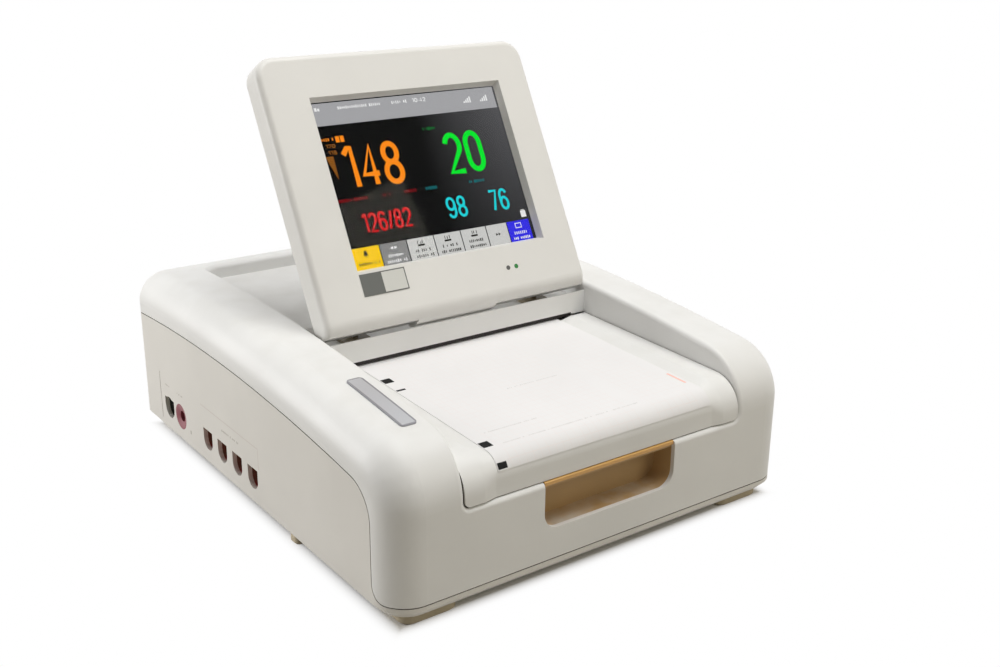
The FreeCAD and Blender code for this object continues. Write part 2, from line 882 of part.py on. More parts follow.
# Finger pocket behind the cut-out
pocket_front_y = front_y + wall
pocket_back_y = tub_front_y - tub_wall - pocket_rear_gap
pocket_roof = bar_low - bar_slide_gap
pocket = box(-finger_half - pocket_wall, finger_half + pocket_wall, pocket_front_y, pocket_back_y,
             finger_low - pocket_wall, pocket_roof)
pocket_room = box(-finger_half, finger_half, pocket_front_y - near, pocket_back_y - pocket_wall,
                  finger_low, pocket_roof - pocket_wall)
pocket_room = pocket_room.makeFillet(finger_corner, chosen(
    pocket_room, lambda b: along_y(b) and b.ZMax < finger_low + near))
save("finger_pocket", pocket.cut(pocket_room))

# Release bar and its springs
bar_half = finger_half - bar_side_gap
bar = box(-bar_half, bar_half, bar_front_y, bar_rear_y, bar_low, bar_high)
bar_front_edges = chosen(bar, lambda b: along_x(b) and b.YMax < bar_front_y + near)
save("release_bar", bar.makeFillet(bar_edge, bar_front_edges))
spring_z = (bar_low + bar_high) / 2


def coil(x):
    run = spring_length - 2 * spring_wire
    helix = Part.makeHelix(run / spring_turns, run, spring_coil_radius)
    ring = Part.Wire(Part.Circle(Vector(spring_coil_radius, 0, 0), AXIS_Y, spring_wire).toShape())
    wire = Part.Wire(helix).makePipeShell([ring], True, True)
    wire.rotate(ORIGIN, AXIS_X, -90)
    wire.translate(Vector(x, bar_rear_y + spring_wire, spring_z))
    return wire


save("release_springs", group([coil(-spring_offset), coil(spring_offset)]))

# Paper table: side strips with a lower channel between them. A profile gives the height at the
# rear, the slope, the set-back of the front and the round over it.
strip_profile = (strip_rear_top, strip_slope, strip_front_set, strip_round)
channel_profile = (channel_rear_top, channel_slope, channel_front_set, channel_round)


# Line along a profile, raised by lift, from the rear over the round to end_angle
def rail(profile, lift, end_angle):
    rear_top, slope, front_set, bend = profile
    lean = math.radians(slope)
    centre_y = front_y + front_set + bend
    centre_z = rear_top + (centre_y - table_rear_y) * math.tan(lean) - bend / math.cos(lean)
    centre = (centre_y, centre_z)
    top_angle = 90 + slope
    radius = bend + lift
    rear = (table_rear_y, rear_top + lift / math.cos(lean))
    edges = [line(rear, on_circle(centre, radius, top_angle)), arc(centre, radius, top_angle, end_angle)]
    return edges, rear, on_circle(centre, radius, end_angle)


# The same line carried on down the front face to the seam over the finger cut-out
def skirted_rail(profile, lift):
    edges, rear, end = rail(profile, lift, 180)
    foot_end = (end[0], lip_low)
    return edges + [line(end, foot_end)], rear, foot_end


def band(upper, lower):
    ends = [line(upper[2], lower[2])]
    return upper[0] + ends + lower[0][::-1] + [line(lower[1], upper[1])]


def moved_wire(edges, x):
    wire = Part.Wire(edges)
    wire.translate(Vector(x, 0, 0))
    return wire


strip_band = band(skirted_rail(strip_profile, 0), skirted_rail(strip_profile, -table_thick))
channel_band = band(skirted_rail(channel_profile, 0), skirted_rail(channel_profile, -table_thick))
rib_front_y = front_y + strip_front_set + strip_round
rib_rear_z = strip_rear_top - table_thick / 2
rib_front_z = rib_rear_z - (table_rear_y - rib_front_y) * math.tan(math.radians(strip_slope))
rib_points = [(rib_front_y, rib_front_z), (table_pivot_y, rib_rear_z),
              (table_pivot_y, rib_rear_z - table_rib_depth), (rib_front_y, rib_front_z - table_rib_depth)]
shoulder_ends = [moved_wire(channel_band, channel_half), moved_wire(strip_band, strip_inner)]
shoulder = Part.makeLoft(shoulder_ends, True, True)
table_side = [shoulder, prism(strip_band, strip_inner, table_half),
              rod_x(table_half - table_ear_thick, table_half, table_pivot_y, table_pivot_z, table_ear_radius),
              prism(polygon(rib_points), table_half - table_rib_thick, table_half)]
table_sides = table_side + [mirrored(piece) for piece in table_side]
table = joined([prism(channel_band, -channel_half, channel_half)] + table_sides)
table_corners = chosen(table, lambda b: along_y(b) and b.ZMax < lip_low + near
                       and abs(b.XMin) > table_half - near)
table = table.makeFillet(bay_corner - table_side_gap, table_corners)
save("paper_table", table.cut(rod_x(-table_half, table_half, table_pivot_y, table_pivot_z, table_pin_radius)))
table_pin = rod_x(table_half - table_ear_thick, pin_reach - table_pin_end_gap, table_pivot_y, table_pivot_z,
                  table_pin_radius)
save("table_pins", group([table_pin, mirrored(table_pin)]))
paper_end = 180 - paper_end_angle
paper_band = band(rail(channel_profile, paper_gap + paper_thick, paper_end),
                  rail(channel_profile, paper_gap, paper_end))
save("chart_paper", prism(paper_band, -paper_half, paper_half))

# Paper from the pack, round the roller to the slot
web_low = roller_radius + paper_gap
web_high = web_low + paper_thick
web_start_y = table_rear_y + paper_end_gap
pack_line = pack_top + paper_gap
web_turn_y = pack_rear_y + web_slack
web_end_y = pack_rear_y - web_slack
web_edges = [line((web_start_y, roller_z + web_high), (roller_y, roller_z + web_high)),
             arc((roller_y, roller_z), web_high, 90, -90),
             line((roller_y, roller_z - web_high), (web_turn_y, roller_z - web_high)),
             line((web_turn_y, roller_z - web_high), (web_end_y, pack_line)),
             line((web_end_y, pack_line), (web_end_y, pack_line + paper_thick)),
             line((web_end_y, pack_line + paper_thick), (web_turn_y, roller_z - web_low)),
             line((web_turn_y, roller_z - web_low), (roller_y, roller_z - web_low)),
             arc((roller_y, roller_z), web_low, -90, 90),
             line((roller_y, roller_z + web_low), (web_start_y, roller_z + web_low)),
             line((web_start_y, roller_z + web_low), (web_start_y, roller_z + web_high))]
save("paper_web", prism(web_edges, -paper_half, paper_half))

# Dark bar that lines the top of the paper slot
guide_half = slot_half - guide_side_gap
save("paper_guide", box(-guide_half, guide_half, panel_face_y + guide_set_in, panel_back_y + guide_reach,
                        roller_z + web_high + guide_above_paper, slot_top))

# Roller and its bushes
gear_left = frame_out + gear_gap
gear_right = gear_left + gear_width
sleeve_bore = rod_x(-roller_half, roller_half, roller_y, roller_z, roller_shaft_radius)
save("platen_sleeve", rod_x(-roller_half, roller_half, roller_y, roller_z, roller_radius).cut(sleeve_bore))
save("roller_shaft", rod_x(-frame_out - bush_reach, gear_right, roller_y, roller_z, roller_shaft_radius))
bush = joined([rod_x(frame_inner_half - bush_reach, frame_inner_half, roller_y, roller_z, bush_flange_radius),
               rod_x(frame_inner_half, frame_out + bush_end, roller_y, roller_z, bush_radius)])
bush = bush.cut(rod_x(frame_inner_half - bush_reach, frame_out + bush_end, roller_y, roller_z,
                      roller_shaft_radius + running_gap))
save("roller_bushes", group([bush, mirrored(bush)]))


# Outline of a gear with involute flanks, one tooth at the angle turn
def gear_outline(teeth, turn):
    pitch = gear_module * teeth / 2
    pressure = math.radians(gear_pressure_angle)
    base_radius = pitch * math.cos(pressure)
    tip = pitch + gear_module
    foot_radius = pitch - gear_foot_share * gear_module
    half_tooth = math.pi / (2 * teeth) - gear_backlash / (2 * pitch)
    start = max(foot_radius, base_radius)
    flank = []
    for share in gear_flank_shares:
        radius = start + (tip - start) * share
        grip = math.acos(min(1, base_radius / radius))
        flank.append((radius, half_tooth + math.tan(pressure) - pressure - math.tan(grip) + grip))
    if foot_radius < start:
        flank.insert(0, (foot_radius, flank[0][1]))
    points = []
    for i in range(teeth):
        middle = turn + 2 * math.pi * i / teeth
        swings = [(radius, -swing) for radius, swing in flank] + flank[::-1]
        for radius, swing in swings:
            points.append((radius * math.cos(middle + swing), radius * math.sin(middle + swing)))
    return polygon(points)


def gear_at(teeth, turn, y, z, bore_radius):
    gear = prism(gear_outline(teeth, turn), gear_left, gear_right)
    gear.translate(Vector(0, y, z))
    return gear.cut(rod_x(gear_left, gear_right, y, z, bore_radius))


pinion_angle = math.radians(pinion_direction)
centre_run = gear_module * (gear_teeth + pinion_teeth) / 2
pinion_y, pinion_z = on_circle((roller_y, roller_z), centre_run, pinion_direction)
facing_gap = pinion_angle + math.pi + math.pi / pinion_teeth
save("roller_gear", gear_at(gear_teeth, pinion_angle, roller_y, roller_z, roller_shaft_radius))
save("motor_pinion", gear_at(pinion_teeth, facing_gap, pinion_y, pinion_z, motor_shaft_radius))

# Print frame, motor plate and motor
frame_side = box(frame_inner_half, frame_out, frame_front_y, frame_rear_y, frame_low, frame_high)
frame_side = frame_side.cut(rod_x(frame_inner_half, frame_out, roller_y, roller_z, bush_radius))
frame_floor = box(-frame_out, frame_out, frame_front_y, frame_rear_y, frame_low, frame_low + frame_plate)
save("print_frame", joined([frame_side, mirrored(frame_side), frame_floor]))
plate_x = gear_right + gear_gap
plate_out = plate_x + motor_plate_thick
carrier_high = frame_high - frame_plate
carrier = box(plate_x, plate_out, frame_front_y, frame_rear_y, frame_low, carrier_high)
carrier = carrier.cut(rod_x(plate_x, plate_out, pinion_y, pinion_z, motor_boss_radius))
spacer_places = [(frame_rear_y - spacer_inset, carrier_high - spacer_inset),
                 (frame_rear_y - spacer_inset, frame_low + spacer_inset),
                 (frame_front_y + spacer_inset, frame_low + spacer_inset)]
spacers = [rod_x(frame_out, plate_x, y, z, spacer_radius) for y, z in spacer_places]
save("motor_plate", joined([carrier] + spacers))
motor_half = motor_size / 2
motor_end = plate_out + motor_length
motor = box(plate_out, motor_end, pinion_y - motor_half, pinion_y + motor_half,
            pinion_z - motor_half, pinion_z + motor_half)
motor = motor.makeChamfer(motor_chamfer, chosen(motor, along_x))
motor = joined([motor, rod_x(plate_x, plate_out + near, pinion_y, pinion_z, motor_boss_radius)])
shaft_end = motor_end - gear_gap
shaft_room = rod_x(plate_x - near, shaft_end + running_gap, pinion_y, pinion_z,
                   motor_shaft_radius + running_gap)
save("feed_motor", motor.cut(shaft_room))
save("motor_shaft", rod_x(gear_left, shaft_end, pinion_y, pinion_z, motor_shaft_radius))

# Print head, its cooling bar and leaf springs
head_low = roller_z + web_high + paper_gap
sink_low = head_low + head_thick
sink_top = sink_low + sink_thick
save("print_head", box(-head_half, head_half, roller_y - head_front, roller_y + head_rear,
                       head_low, sink_low))
save("head_sink", box(-frame_inner_half, frame_inner_half, roller_y - sink_front, roller_y + sink_rear,
                      sink_low, sink_top))
leaf_high = hinge_floor - floor_thick - leaf_thick
leaf_length = head_half - leaf_end_gap
leaf_half = leaf_length / 2
leaf_flat = leaf_length * leaf_flat_share
leaf_middle = head_half / 2
leaf_y = roller_y - leaf_width / 2


def leaf(x):
    low = [(x - leaf_half, sink_top), (x - leaf_half + leaf_flat, sink_top),
           (x - leaf_flat / 2, leaf_high), (x + leaf_flat / 2, leaf_high),
           (x + leaf_half - leaf_flat, sink_top), (x + leaf_half, sink_top)]
    high = [(px, pz + leaf_thick) for px, pz in reversed(low)]
    points = [Vector(px, leaf_y, pz) for px, pz in low + high]
    return Part.Face(Part.makePolygon(points + points[:1])).extrude(Vector(0, leaf_width, 0))


save("head_springs", group([leaf(-leaf_middle), leaf(leaf_middle)]))

# Display, built lying flat about its hinge axis and then turned up
display_back_d = face_offset - rim_depth
display_low = -display_lip
display_high = rear_y - display_before_rear - hinge_y
opening_left = opening_left_margin - display_half
opening_right = display_half - opening_right_margin
opening_high = display_high - opening_top_margin
display_screw_x = display_half - display_screw_side_margin
display_screw_places = grid((-display_screw_x, display_screw_x),
                            (display_screw_low, display_high - display_screw_top_margin))
screw_top = display_back_d + display_screw_length
head_seat = display_back_d + display_head_height


def set_up(shape):
    raised = shape.copy()
    raised.rotate(ORIGIN, AXIS_X, tilt)
    raised.translate(Vector(0, hinge_y, hinge_z))
    return raised


# Outer form of the display, moved inwards by inset
def display_form(inset):
    half = display_half - inset
    low = display_low + inset
    high = display_high - inset
    face = face_offset - inset
    bend = lip_round - inset
    edges = [line((low, display_back_d), (low, face - bend)),
             arc((low + bend, face - bend), bend, 180, 90),
             line((low + bend, face), (high, face)),
             line((high, face), (high, display_back_d)),
             line((high, display_back_d), (low, display_back_d))]
    form = prism(edges, -half, half)
    form = form.makeFillet(display_top_corner - inset,
                           chosen(form, lambda b: along_z(b) and b.YMin > high - near))
    corner_start = high - display_top_corner - near

    def front_edge(b):
        side = b.XLength < near and abs(b.XMin) > half - near and b.ZMax > display_back_d + near
        round_the_top = b.ZMin > face - near and b.YMin > corner_start
        return side and b.YMin < corner_start or round_the_top

    return form.makeFillet(display_edge - inset / 2, chosen(form, front_edge))


def rectangle(x0, x1, y0, y1, z):
    corners = [Vector(x0, y0, z), Vector(x1, y0, z), Vector(x1, y1, z), Vector(x0, y1, z)]
    return Part.makePolygon(corners + corners[:1])


# Screen opening, narrowing evenly to the glass
def opening_at(depth):
    inset = opening_slope * depth / opening_depth
    return rectangle(opening_left + inset, opening_right - inset, opening_low + inset, opening_high - inset,
                     face_offset - depth)


# Block round the screen opening, wider by over on every side
def opening_block(over, d0, d1):
    return box(opening_left - over, opening_right + over, opening_low - over, opening_high + over, d0, d1)


def display_rods(d0, d1, places, radius):
    return [rod_z(d0, d1, x, s, radius) for x, s in places]


# Bezel: front half of the display with the sloped screen opening
shell = display_form(0)
wide = display_half + cut_margin
low_cut = display_low - cut_margin
high_cut = display_high + cut_margin
notch_high = display_low + lip_notch
lip_wall = box(-wide, wide, low_cut, notch_high + display_wall, display_back_d - near, face_offset)
room = display_form(display_wall).cut(lip_wall)
notches = [box(-wide, lip_centre_left, low_cut, notch_high, display_back_d - near, face_offset),
           box(lip_centre_right, wide, low_cut, notch_high, display_back_d - near, face_offset)]
glass_top = face_offset - opening_depth
inside_face = face_offset - display_wall / 2
funnel = Part.makeLoft([opening_at(opening_depth + near), opening_at(-near)], True, True)
front_zone = box(-wide, wide, low_cut, high_cut, display_split, face_offset + cut_margin)
bezel_bosses = [boss.common(shell) for boss in display_rods(display_split, inside_face, display_screw_places,
                                                            display_boss_radius)]
opening_ring = opening_block(collar, glass_top, inside_face)
bezel = joined([shell.common(front_zone).cut(room), opening_ring] + bezel_bosses)
lamp_power_x = display_half - lamp_side_margin
lamps = {"lamp_standby": (lamp_power_x - lamp_pitch, lamp_place), "lamp_power": (lamp_power_x, lamp_place)}
bezel = bezel.cut(notches + [funnel]
                  + display_rods(display_split, face_offset + near, lamps.values(), lamp_radius)
                  + display_rods(display_split - near, screw_top, display_screw_places, display_screw_radius))
save("display_bezel", set_up(bezel))

# Rear cover of the display, with the bulge, the hinge knuckles and the stands of its board
bulge_half = display_half - bulge_side_margin
bulge_high = display_high - bulge_top_margin
bulge_d = display_back_d - bulge_depth
plate_middle = display_back_d + back_plate / 2
rim = shell.common(box(-wide, wide, low_cut, high_cut, display_back_d - near, display_split))
rim = rim.makeFillet(back_edge, chosen(rim, lambda b: b.ZMax < display_back_d + near))
rim_room = room.common(box(-wide, wide, low_cut, high_cut, display_back_d + back_plate, display_split + near))
bulge = slab(-bulge_half, bulge_half, bulge_low, bulge_high, bulge_d, plate_middle, bulge_corner)
bulge = bulge.makeFillet(bulge_edge, chosen(bulge, lambda b: b.ZMax < bulge_d + near))
bulge_room_half = bulge_half - display_wall
bulge_room = slab(-bulge_room_half, bulge_room_half, bulge_low + display_wall, bulge_high - display_wall,
                  bulge_d + display_wall, display_back_d + back_plate + near, bulge_corner - display_wall)
washer_room = washer_thick + 2 * washer_gap
knuckle_inner = display_half - knuckle_side_margin
ear_start = knuckle_inner + knuckle_width + washer_room
ear_end = ear_start + ear_width
second_knuckle = ear_end + washer_room
knuckle_end = second_knuckle + knuckle_width
knuckles = []
for start in (knuckle_inner, second_knuckle):
    end = start + knuckle_width
    web = box(start, end, -knuckle_radius, knuckle_radius, 0, plate_middle)
    knuckle = joined([rod_x(start, end, 0, 0, knuckle_radius), web])
    knuckles += [knuckle, mirrored(knuckle)]
board_d = bulge_d + board_stand
display_board_half = bulge_half - display_board_margin
display_board_low = bulge_low + display_board_margin
display_board_high = bulge_high - display_board_margin
stand_places = grid((-display_board_half + board_stand_inset, display_board_half - board_stand_inset),
                    (display_board_low + board_stand_inset, display_board_high - board_stand_inset))
stands = display_rods(bulge_d + display_wall / 2, board_d, stand_places, board_stand_radius)
rear_bosses = [boss.common(shell) for boss in display_rods(plate_middle, display_split, display_screw_places,
                                                           display_boss_radius)]
back = joined([joined([rim, bulge]).cut([rim_room, bulge_room])] + knuckles + stands + rear_bosses)
back = back.cut(notches + [rod_x(-knuckle_end, knuckle_end, 0, 0, hinge_pin_radius)]
                + display_rods(display_back_d - near, screw_top, display_screw_places, display_screw_radius)
                + display_rods(display_back_d - near, head_seat, display_screw_places, display_head_radius))
save("display_back", set_up(back))
screw_heads = display_rods(display_back_d, head_seat, display_screw_places, display_head_radius)
screw_shanks = display_rods(head_seat - near, screw_top, display_screw_places, display_screw_radius)
save("display_screws", set_up(group([joined(pair) for pair in zip(screw_heads, screw_shanks)])))

# Glass, screen, bracket, board, lamps and bare plate of the display
glass_low = glass_top - glass_thick
bracket_low_d = display_back_d + back_plate
bracket_high_d = bracket_low_d + bracket_thick
bracket_half = display_half - bracket_side_margin
plate_left = plate_side_margin - display_half
save("touch_glass", set_up(opening_block(glass_over, glass_low, glass_top)))
save("screen_panel", set_up(opening_block(collar, bracket_high_d, glass_low)))
save("screen_bracket", set_up(box(-bracket_half, bracket_half, opening_low - bracket_over,
                                  opening_high + bracket_over, bracket_low_d, bracket_high_d)))
save("display_board", set_up(box(-display_board_half, display_board_half, display_board_low,
                                 display_board_high, board_d, board_d + board_thick)))
for node, place in lamps.items():
    save(node, set_up(rod_z(display_split, face_offset + lamp_rise, place[0], place[1], lamp_radius)))
save("front_plate", set_up(box(plate_left, plate_left + plate_width, plate_low, plate_low + plate_height,
                               face_offset, face_offset + plate_thick)))

# Display hinge
pin = rod_x(knuckle_inner, knuckle_end, 0, 0, hinge_pin_radius)
save("hinge_pins", set_up(group([pin, mirrored(pin)])))
ear_middle = (ear_start + ear_end) / 2
ear_radius = display_back_d - ear_gap
bracket = joined([rod_x(ear_start, ear_end, hinge_y, hinge_z, ear_radius),
                  box(ear_start, ear_end, hinge_y - ear_half, hinge_y + ear_half, hinge_floor, hinge_z),
                  box(ear_middle - bracket_flange_half, ear_middle + bracket_flange_half,
                      hinge_y - bracket_flange_front, hinge_y + bracket_flange_rear,
                      hinge_floor, hinge_floor + bracket_flange_thick)])
bracket = bracket.cut(rod_x(ear_start, ear_end, hinge_y, hinge_z, hinge_pin_radius + running_gap))
save("hinge_brackets", group([bracket, mirrored(bracket)]))
washers = []
for start in (ear_start - washer_thick, ear_end):
    end = start + washer_thick
    washer = rod_x(start, end, hinge_y, hinge_z, washer_radius)
    washer = washer.cut(rod_x(start, end, hinge_y, hinge_z, hinge_pin_radius + running_gap))
    washers += [washer, mirrored(washer)]
save("hinge_washers", group(washers))

# Socket blocks, pressure port and the board behind the sockets
core_x = left_inner + socket_depth
board_x = core_x + socket_back
blocks = []
for start in socket_starts:
    core = box(core_x - core_length, core_x + near, start + core_gap, start + socket_width - core_gap,
               socket_low + socket_width / 2, socket_high - core_gap)
    blocks.append(joined([socket_shell(start, socket_width), core]))
save("probe_sockets", group(blocks))
save("pulse_socket", socket_shell(pulse_start, pulse_width))
port_end = left_face + port_depth
port = joined([rod_x(left_face, left_inner + near, port_y, port_z, port_radius),
               rod_x(left_inner, port_end, port_y, port_z, port_flange_radius),
               rod_x(port_end - near, port_end + nipple_length, port_y, port_z, nipple_radius)])
port_centre = Vector(left_face, port_y, port_z)
dish = Part.makeCone(port_radius - port_rim, port_mouth_radius, port_dish, port_centre, AXIS_X)
mouth_end = left_face + port_dish + port_mouth_depth
port_mouth = rod_x(left_face, mouth_end, port_y, port_z, port_mouth_radius)
port_bore = rod_x(left_face, mouth_end + port_bore_length, port_y, port_z, port_bore_radius)
save("pressure_port", port.cut([dish, port_mouth, port_bore]))
save("socket_board", box(board_x, board_x + board_thick, socket_starts[-1] - socket_board_over,
                         socket_starts[0] + socket_width + socket_board_over, socket_board_low,
                         socket_board_low + socket_board_height))

# Air pump, and its hose along the left side to the pressure port
pump_neck_y = pump_rear_y - pump_cap
save("air_pump", joined([rod_y(pump_front_y, pump_neck_y, pump_x, port_z, pump_radius),
                         rod_y(pump_neck_y, pump_rear_y, pump_x, port_z, pump_radius - pump_step),
                         rod_y(pump_rear_y, pump_rear_y + nipple_length, pump_x, port_z, nipple_radius)]))
hose_start = Vector(pump_x, pump_rear_y, port_z)
bend_start = Vector(pump_x, port_y - hose_bend, port_z)
bend_end = Vector(pump_x - hose_bend, port_y, port_z)
swing = hose_bend * math.cos(math.radians(45))
bend_middle = Vector(pump_x - hose_bend + swing, port_y - hose_bend + swing, port_z)
route = [Part.makeLine(hose_start, bend_start), Part.Arc(bend_start, bend_middle, bend_end).toShape(),
         Part.makeLine(bend_end, Vector(port_end, port_y, port_z))]


def hose_of(radius):
    ring = Part.Wire(Part.Circle(hose_start, AXIS_Y, radius).toShape())
    return Part.Wire(route).makePipeShell([ring], True, True)


save("air_hose", hose_of(nipple_radius + hose_wall).cut(hose_of(nipple_radius)))

# Rear connector tray and what sits in it
inlet_x = tray_half - inlet_margin
inlet_z = tray_low + inlet_rise
rocker_x = inlet_x - rocker_from_inlet
stud_x = rocker_x - stud_from_rocker
inlet_body_width = inlet_mouth_width + 2 * inlet_body_wall
inlet_body_height = inlet_mouth_height + 2 * inlet_body_wall
rocker_room_width = rocker_width + 2 * rocker_gap
rocker_room_height = rocker_height + 2 * rocker_gap
switch_width = rocker_room_width + 2 * rocker_border - 2 * rocker_frame_step
switch_height = rocker_room_height + 2 * rocker_border - 2 * rocker_frame_step
sheet_back = tray_back - tray_sheet
tray_out = tray_inner_half + tray_sheet
tray = joined([box(-tray_half, tray_half, rear_inner - tray_sheet, rear_inner, tray_low, tray_high),
               box(-tray_out, tray_out, sheet_back, rear_inner, tray_low_in - tray_sheet,
                   tray_high_in + tray_sheet)])
tray_room = box(-tray_inner_half, tray_inner_half, tray_back, rear_inner + near, tray_low_in, tray_high_in)
tray = tray.cut([tray_room,
                 around(inlet_x, inlet_z, inlet_body_width, inlet_body_height, sheet_back, tray_back),
                 around(rocker_x, inlet_z, switch_width, switch_height, sheet_back, tray_back),
                 rod_y(sheet_back, tray_back, stud_x, inlet_z, stud_radius)])
save("rear_panel", tray)

# Mains inlet and its blades
inlet_back_y = inlet_floor - inlet_back
inlet = joined([around(inlet_x, inlet_z, inlet_mouth_width + 2 * inlet_border,
                       inlet_mouth_height + 2 * inlet_border, tray_back, inlet_end),
                around(inlet_x, inlet_z, inlet_body_width, inlet_body_height, inlet_back_y,
                       tray_back + near)])
mouth_half_width = inlet_mouth_width / 2
mouth_half_height = inlet_mouth_height / 2
mouth = slab_y(inlet_x - mouth_half_width, inlet_x + mouth_half_width, inlet_floor, inlet_end + near,
               inlet_z - mouth_half_height, inlet_z + mouth_half_height, inlet_mouth_corner)
blade_places = [(inlet_x - blade_pitch, inlet_z - blade_drop), (inlet_x, inlet_z + blade_drop),
                (inlet_x + blade_pitch, inlet_z - blade_drop)]
blades = [around(x, z, blade_thick, blade_width, inlet_floor - blade_root, inlet_floor + blade_length)
          for x, z in blade_places]
save("mains_inlet", inlet.cut([mouth] + blades))
save("mains_pins", group(blades))

# Power switch: a frame with a rocker on two pins
switch_back = inlet_end - rocker_frame_depth
rocker_axis_y = inlet_end - rocker_body / 2
pin_room_half = rocker_room_width / 2 + rocker_pin_reach
rocker_frame = joined([around(rocker_x, inlet_z, rocker_room_width + 2 * rocker_border,
                              rocker_room_height + 2 * rocker_border, tray_back, inlet_end),
                       around(rocker_x, inlet_z, switch_width, switch_height, switch_back, tray_back + near)])
rocker_room = around(rocker_x, inlet_z, rocker_room_width, rocker_room_height,
                     switch_back + inlet_body_wall, inlet_end + near)
pin_room = rod_x(rocker_x - pin_room_half, rocker_x + pin_room_half, rocker_axis_y, inlet_z,
                 rocker_pin_radius + running_gap)
save("rocker_frame", rocker_frame.cut([rocker_room, pin_room]))
crown_y = inlet_end + rocker_crown
half_rocker = rocker_height / 2 - 2 * rocker_gap
rocker_low_y = inlet_end - rocker_body
rocker_points = [(rocker_low_y, inlet_z - half_rocker), (crown_y, inlet_z - half_rocker),
                 (inlet_end, inlet_z), (crown_y, inlet_z + half_rocker),
                 (rocker_low_y, inlet_z + half_rocker)]
pin_half = pin_room_half - rocker_gap
rocker = joined([prism(polygon(rocker_points), rocker_x - rocker_width / 2, rocker_x + rocker_width / 2),
                 rod_x(rocker_x - pin_half, rocker_x + pin_half, rocker_axis_y, inlet_z, rocker_pin_radius)])
rocker.rotate(Vector(0, rocker_axis_y, inlet_z), AXIS_X, rocker_swing)
save("power_rocker", rocker)

# Ground stud and the covers of the spare slots
stud_back = sheet_back - stud_collar
save("ground_stud", joined([rod_y(stud_back, tray_back + stud_length, stud_x, inlet_z, stud_radius),
                            rod_y(tray_back, tray_back + stud_collar, stud_x, inlet_z, stud_collar_radius),
                            rod_y(stud_back, sheet_back, stud_x, inlet_z, stud_collar_radius)]))
cover_left = -tray_half + cover_side_gap
cover_right = stud_x - cover_stud_gap
cover_face = tray_back + cover_thick
covers = []
for i in range(cover_count):
    low = tray_low_in + cover_rise + i * cover_pitch
    middle = low + cover_height / 2
    heads = [rod_y(cover_face - near, cover_face + cover_screw_rise, x, middle, cover_screw_radius)
             for x in (cover_left + cover_screw_inset, cover_right - cover_screw_inset)]
    plate = box(cover_left, cover_right, tray_back, cover_face, low, low + cover_height)
    covers.append(joined([plate] + heads))
save("slot_covers", group(covers))

# Boards and units on the floor
main_board_width = main_board_right - main_board_left
main_board_depth = main_board_rear_y - main_board_front_y
main_top = main_board_low + board_thick
chip_half_width = main_board_width * chip_size_share / 2
chip_half_depth = main_board_depth * chip_size_share / 2
chips = []
for x_share, y_share in chip_place_shares:
    x = main_board_left + main_board_width * x_share
    y = main_board_front_y + main_board_depth * y_share
    chips.append(box(x - chip_half_width, x + chip_half_width, y - chip_half_depth, y + chip_half_depth,
                     main_top - near, main_top + chip_height))
board = box(main_board_left, main_board_right, main_board_front_y, main_board_rear_y,
            main_board_low, main_top)
save("main_board", joined([board] + chips))
save("power_supply", slab(supply_left, supply_right, supply_front_y, supply_rear_y, supply_low,
                          supply_low + supply_height, supply_edge))
speaker_rim_top = floor_top + speaker_flange
cone = Part.makeCone(speaker_radius - speaker_flange, speaker_magnet_radius, speaker_cone_height,
                     Vector(speaker_x, speaker_y, speaker_rim_top - near), AXIS_Z)
save("loudspeaker", joined([rod_z(floor_top, speaker_rim_top, speaker_x, speaker_y, speaker_radius), cone,
                            rod_z(speaker_rim_top, floor_top + speaker_height, speaker_x, speaker_y,
                                  speaker_magnet_radius)]))
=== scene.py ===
"""Fetal monitor with a tilting screen and a chart paper table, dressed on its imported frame."""
import json
import math

import bmesh
import bpy
from bpy.props import FloatProperty, FloatVectorProperty, PointerProperty, StringProperty
from mathutils import Color, Matrix, Vector
from mathutils.bvhtree import BVHTree


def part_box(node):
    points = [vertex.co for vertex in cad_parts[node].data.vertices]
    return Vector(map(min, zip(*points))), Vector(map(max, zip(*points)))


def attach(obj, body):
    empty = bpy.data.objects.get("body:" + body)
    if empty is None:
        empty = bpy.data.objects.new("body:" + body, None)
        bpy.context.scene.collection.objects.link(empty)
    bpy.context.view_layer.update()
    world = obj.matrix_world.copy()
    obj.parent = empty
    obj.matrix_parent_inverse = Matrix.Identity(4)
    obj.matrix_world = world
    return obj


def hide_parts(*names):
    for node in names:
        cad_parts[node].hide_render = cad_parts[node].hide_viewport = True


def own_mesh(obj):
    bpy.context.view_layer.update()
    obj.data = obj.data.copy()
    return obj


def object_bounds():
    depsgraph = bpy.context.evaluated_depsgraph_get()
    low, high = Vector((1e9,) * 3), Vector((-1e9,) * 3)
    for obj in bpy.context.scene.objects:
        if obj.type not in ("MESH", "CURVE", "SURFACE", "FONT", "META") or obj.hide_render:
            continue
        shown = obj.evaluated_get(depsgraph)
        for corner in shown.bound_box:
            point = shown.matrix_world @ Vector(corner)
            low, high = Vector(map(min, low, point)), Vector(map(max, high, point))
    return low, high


bl_info = {
    "name": "Fetal monitor",
    "version": (1, 0, 0),
    "blender": (4, 5, 0),
    "location": "3D View > Sidebar > Monitor",
    "description": "Finishes, screen picture, chart print and small fittings of a fetal monitor",
    "category": "Object",
}

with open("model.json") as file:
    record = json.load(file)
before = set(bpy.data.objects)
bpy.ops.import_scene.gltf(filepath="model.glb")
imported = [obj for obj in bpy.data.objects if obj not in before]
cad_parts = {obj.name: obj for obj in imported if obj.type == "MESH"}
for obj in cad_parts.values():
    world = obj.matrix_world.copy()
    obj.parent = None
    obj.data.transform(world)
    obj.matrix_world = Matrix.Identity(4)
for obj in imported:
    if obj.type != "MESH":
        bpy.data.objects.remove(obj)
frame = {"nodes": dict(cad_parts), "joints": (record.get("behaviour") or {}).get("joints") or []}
CAD_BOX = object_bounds()
NODES = frame["nodes"]
JOINTS = {joint["name"]: joint for joint in frame["joints"]}
MM = 0.001

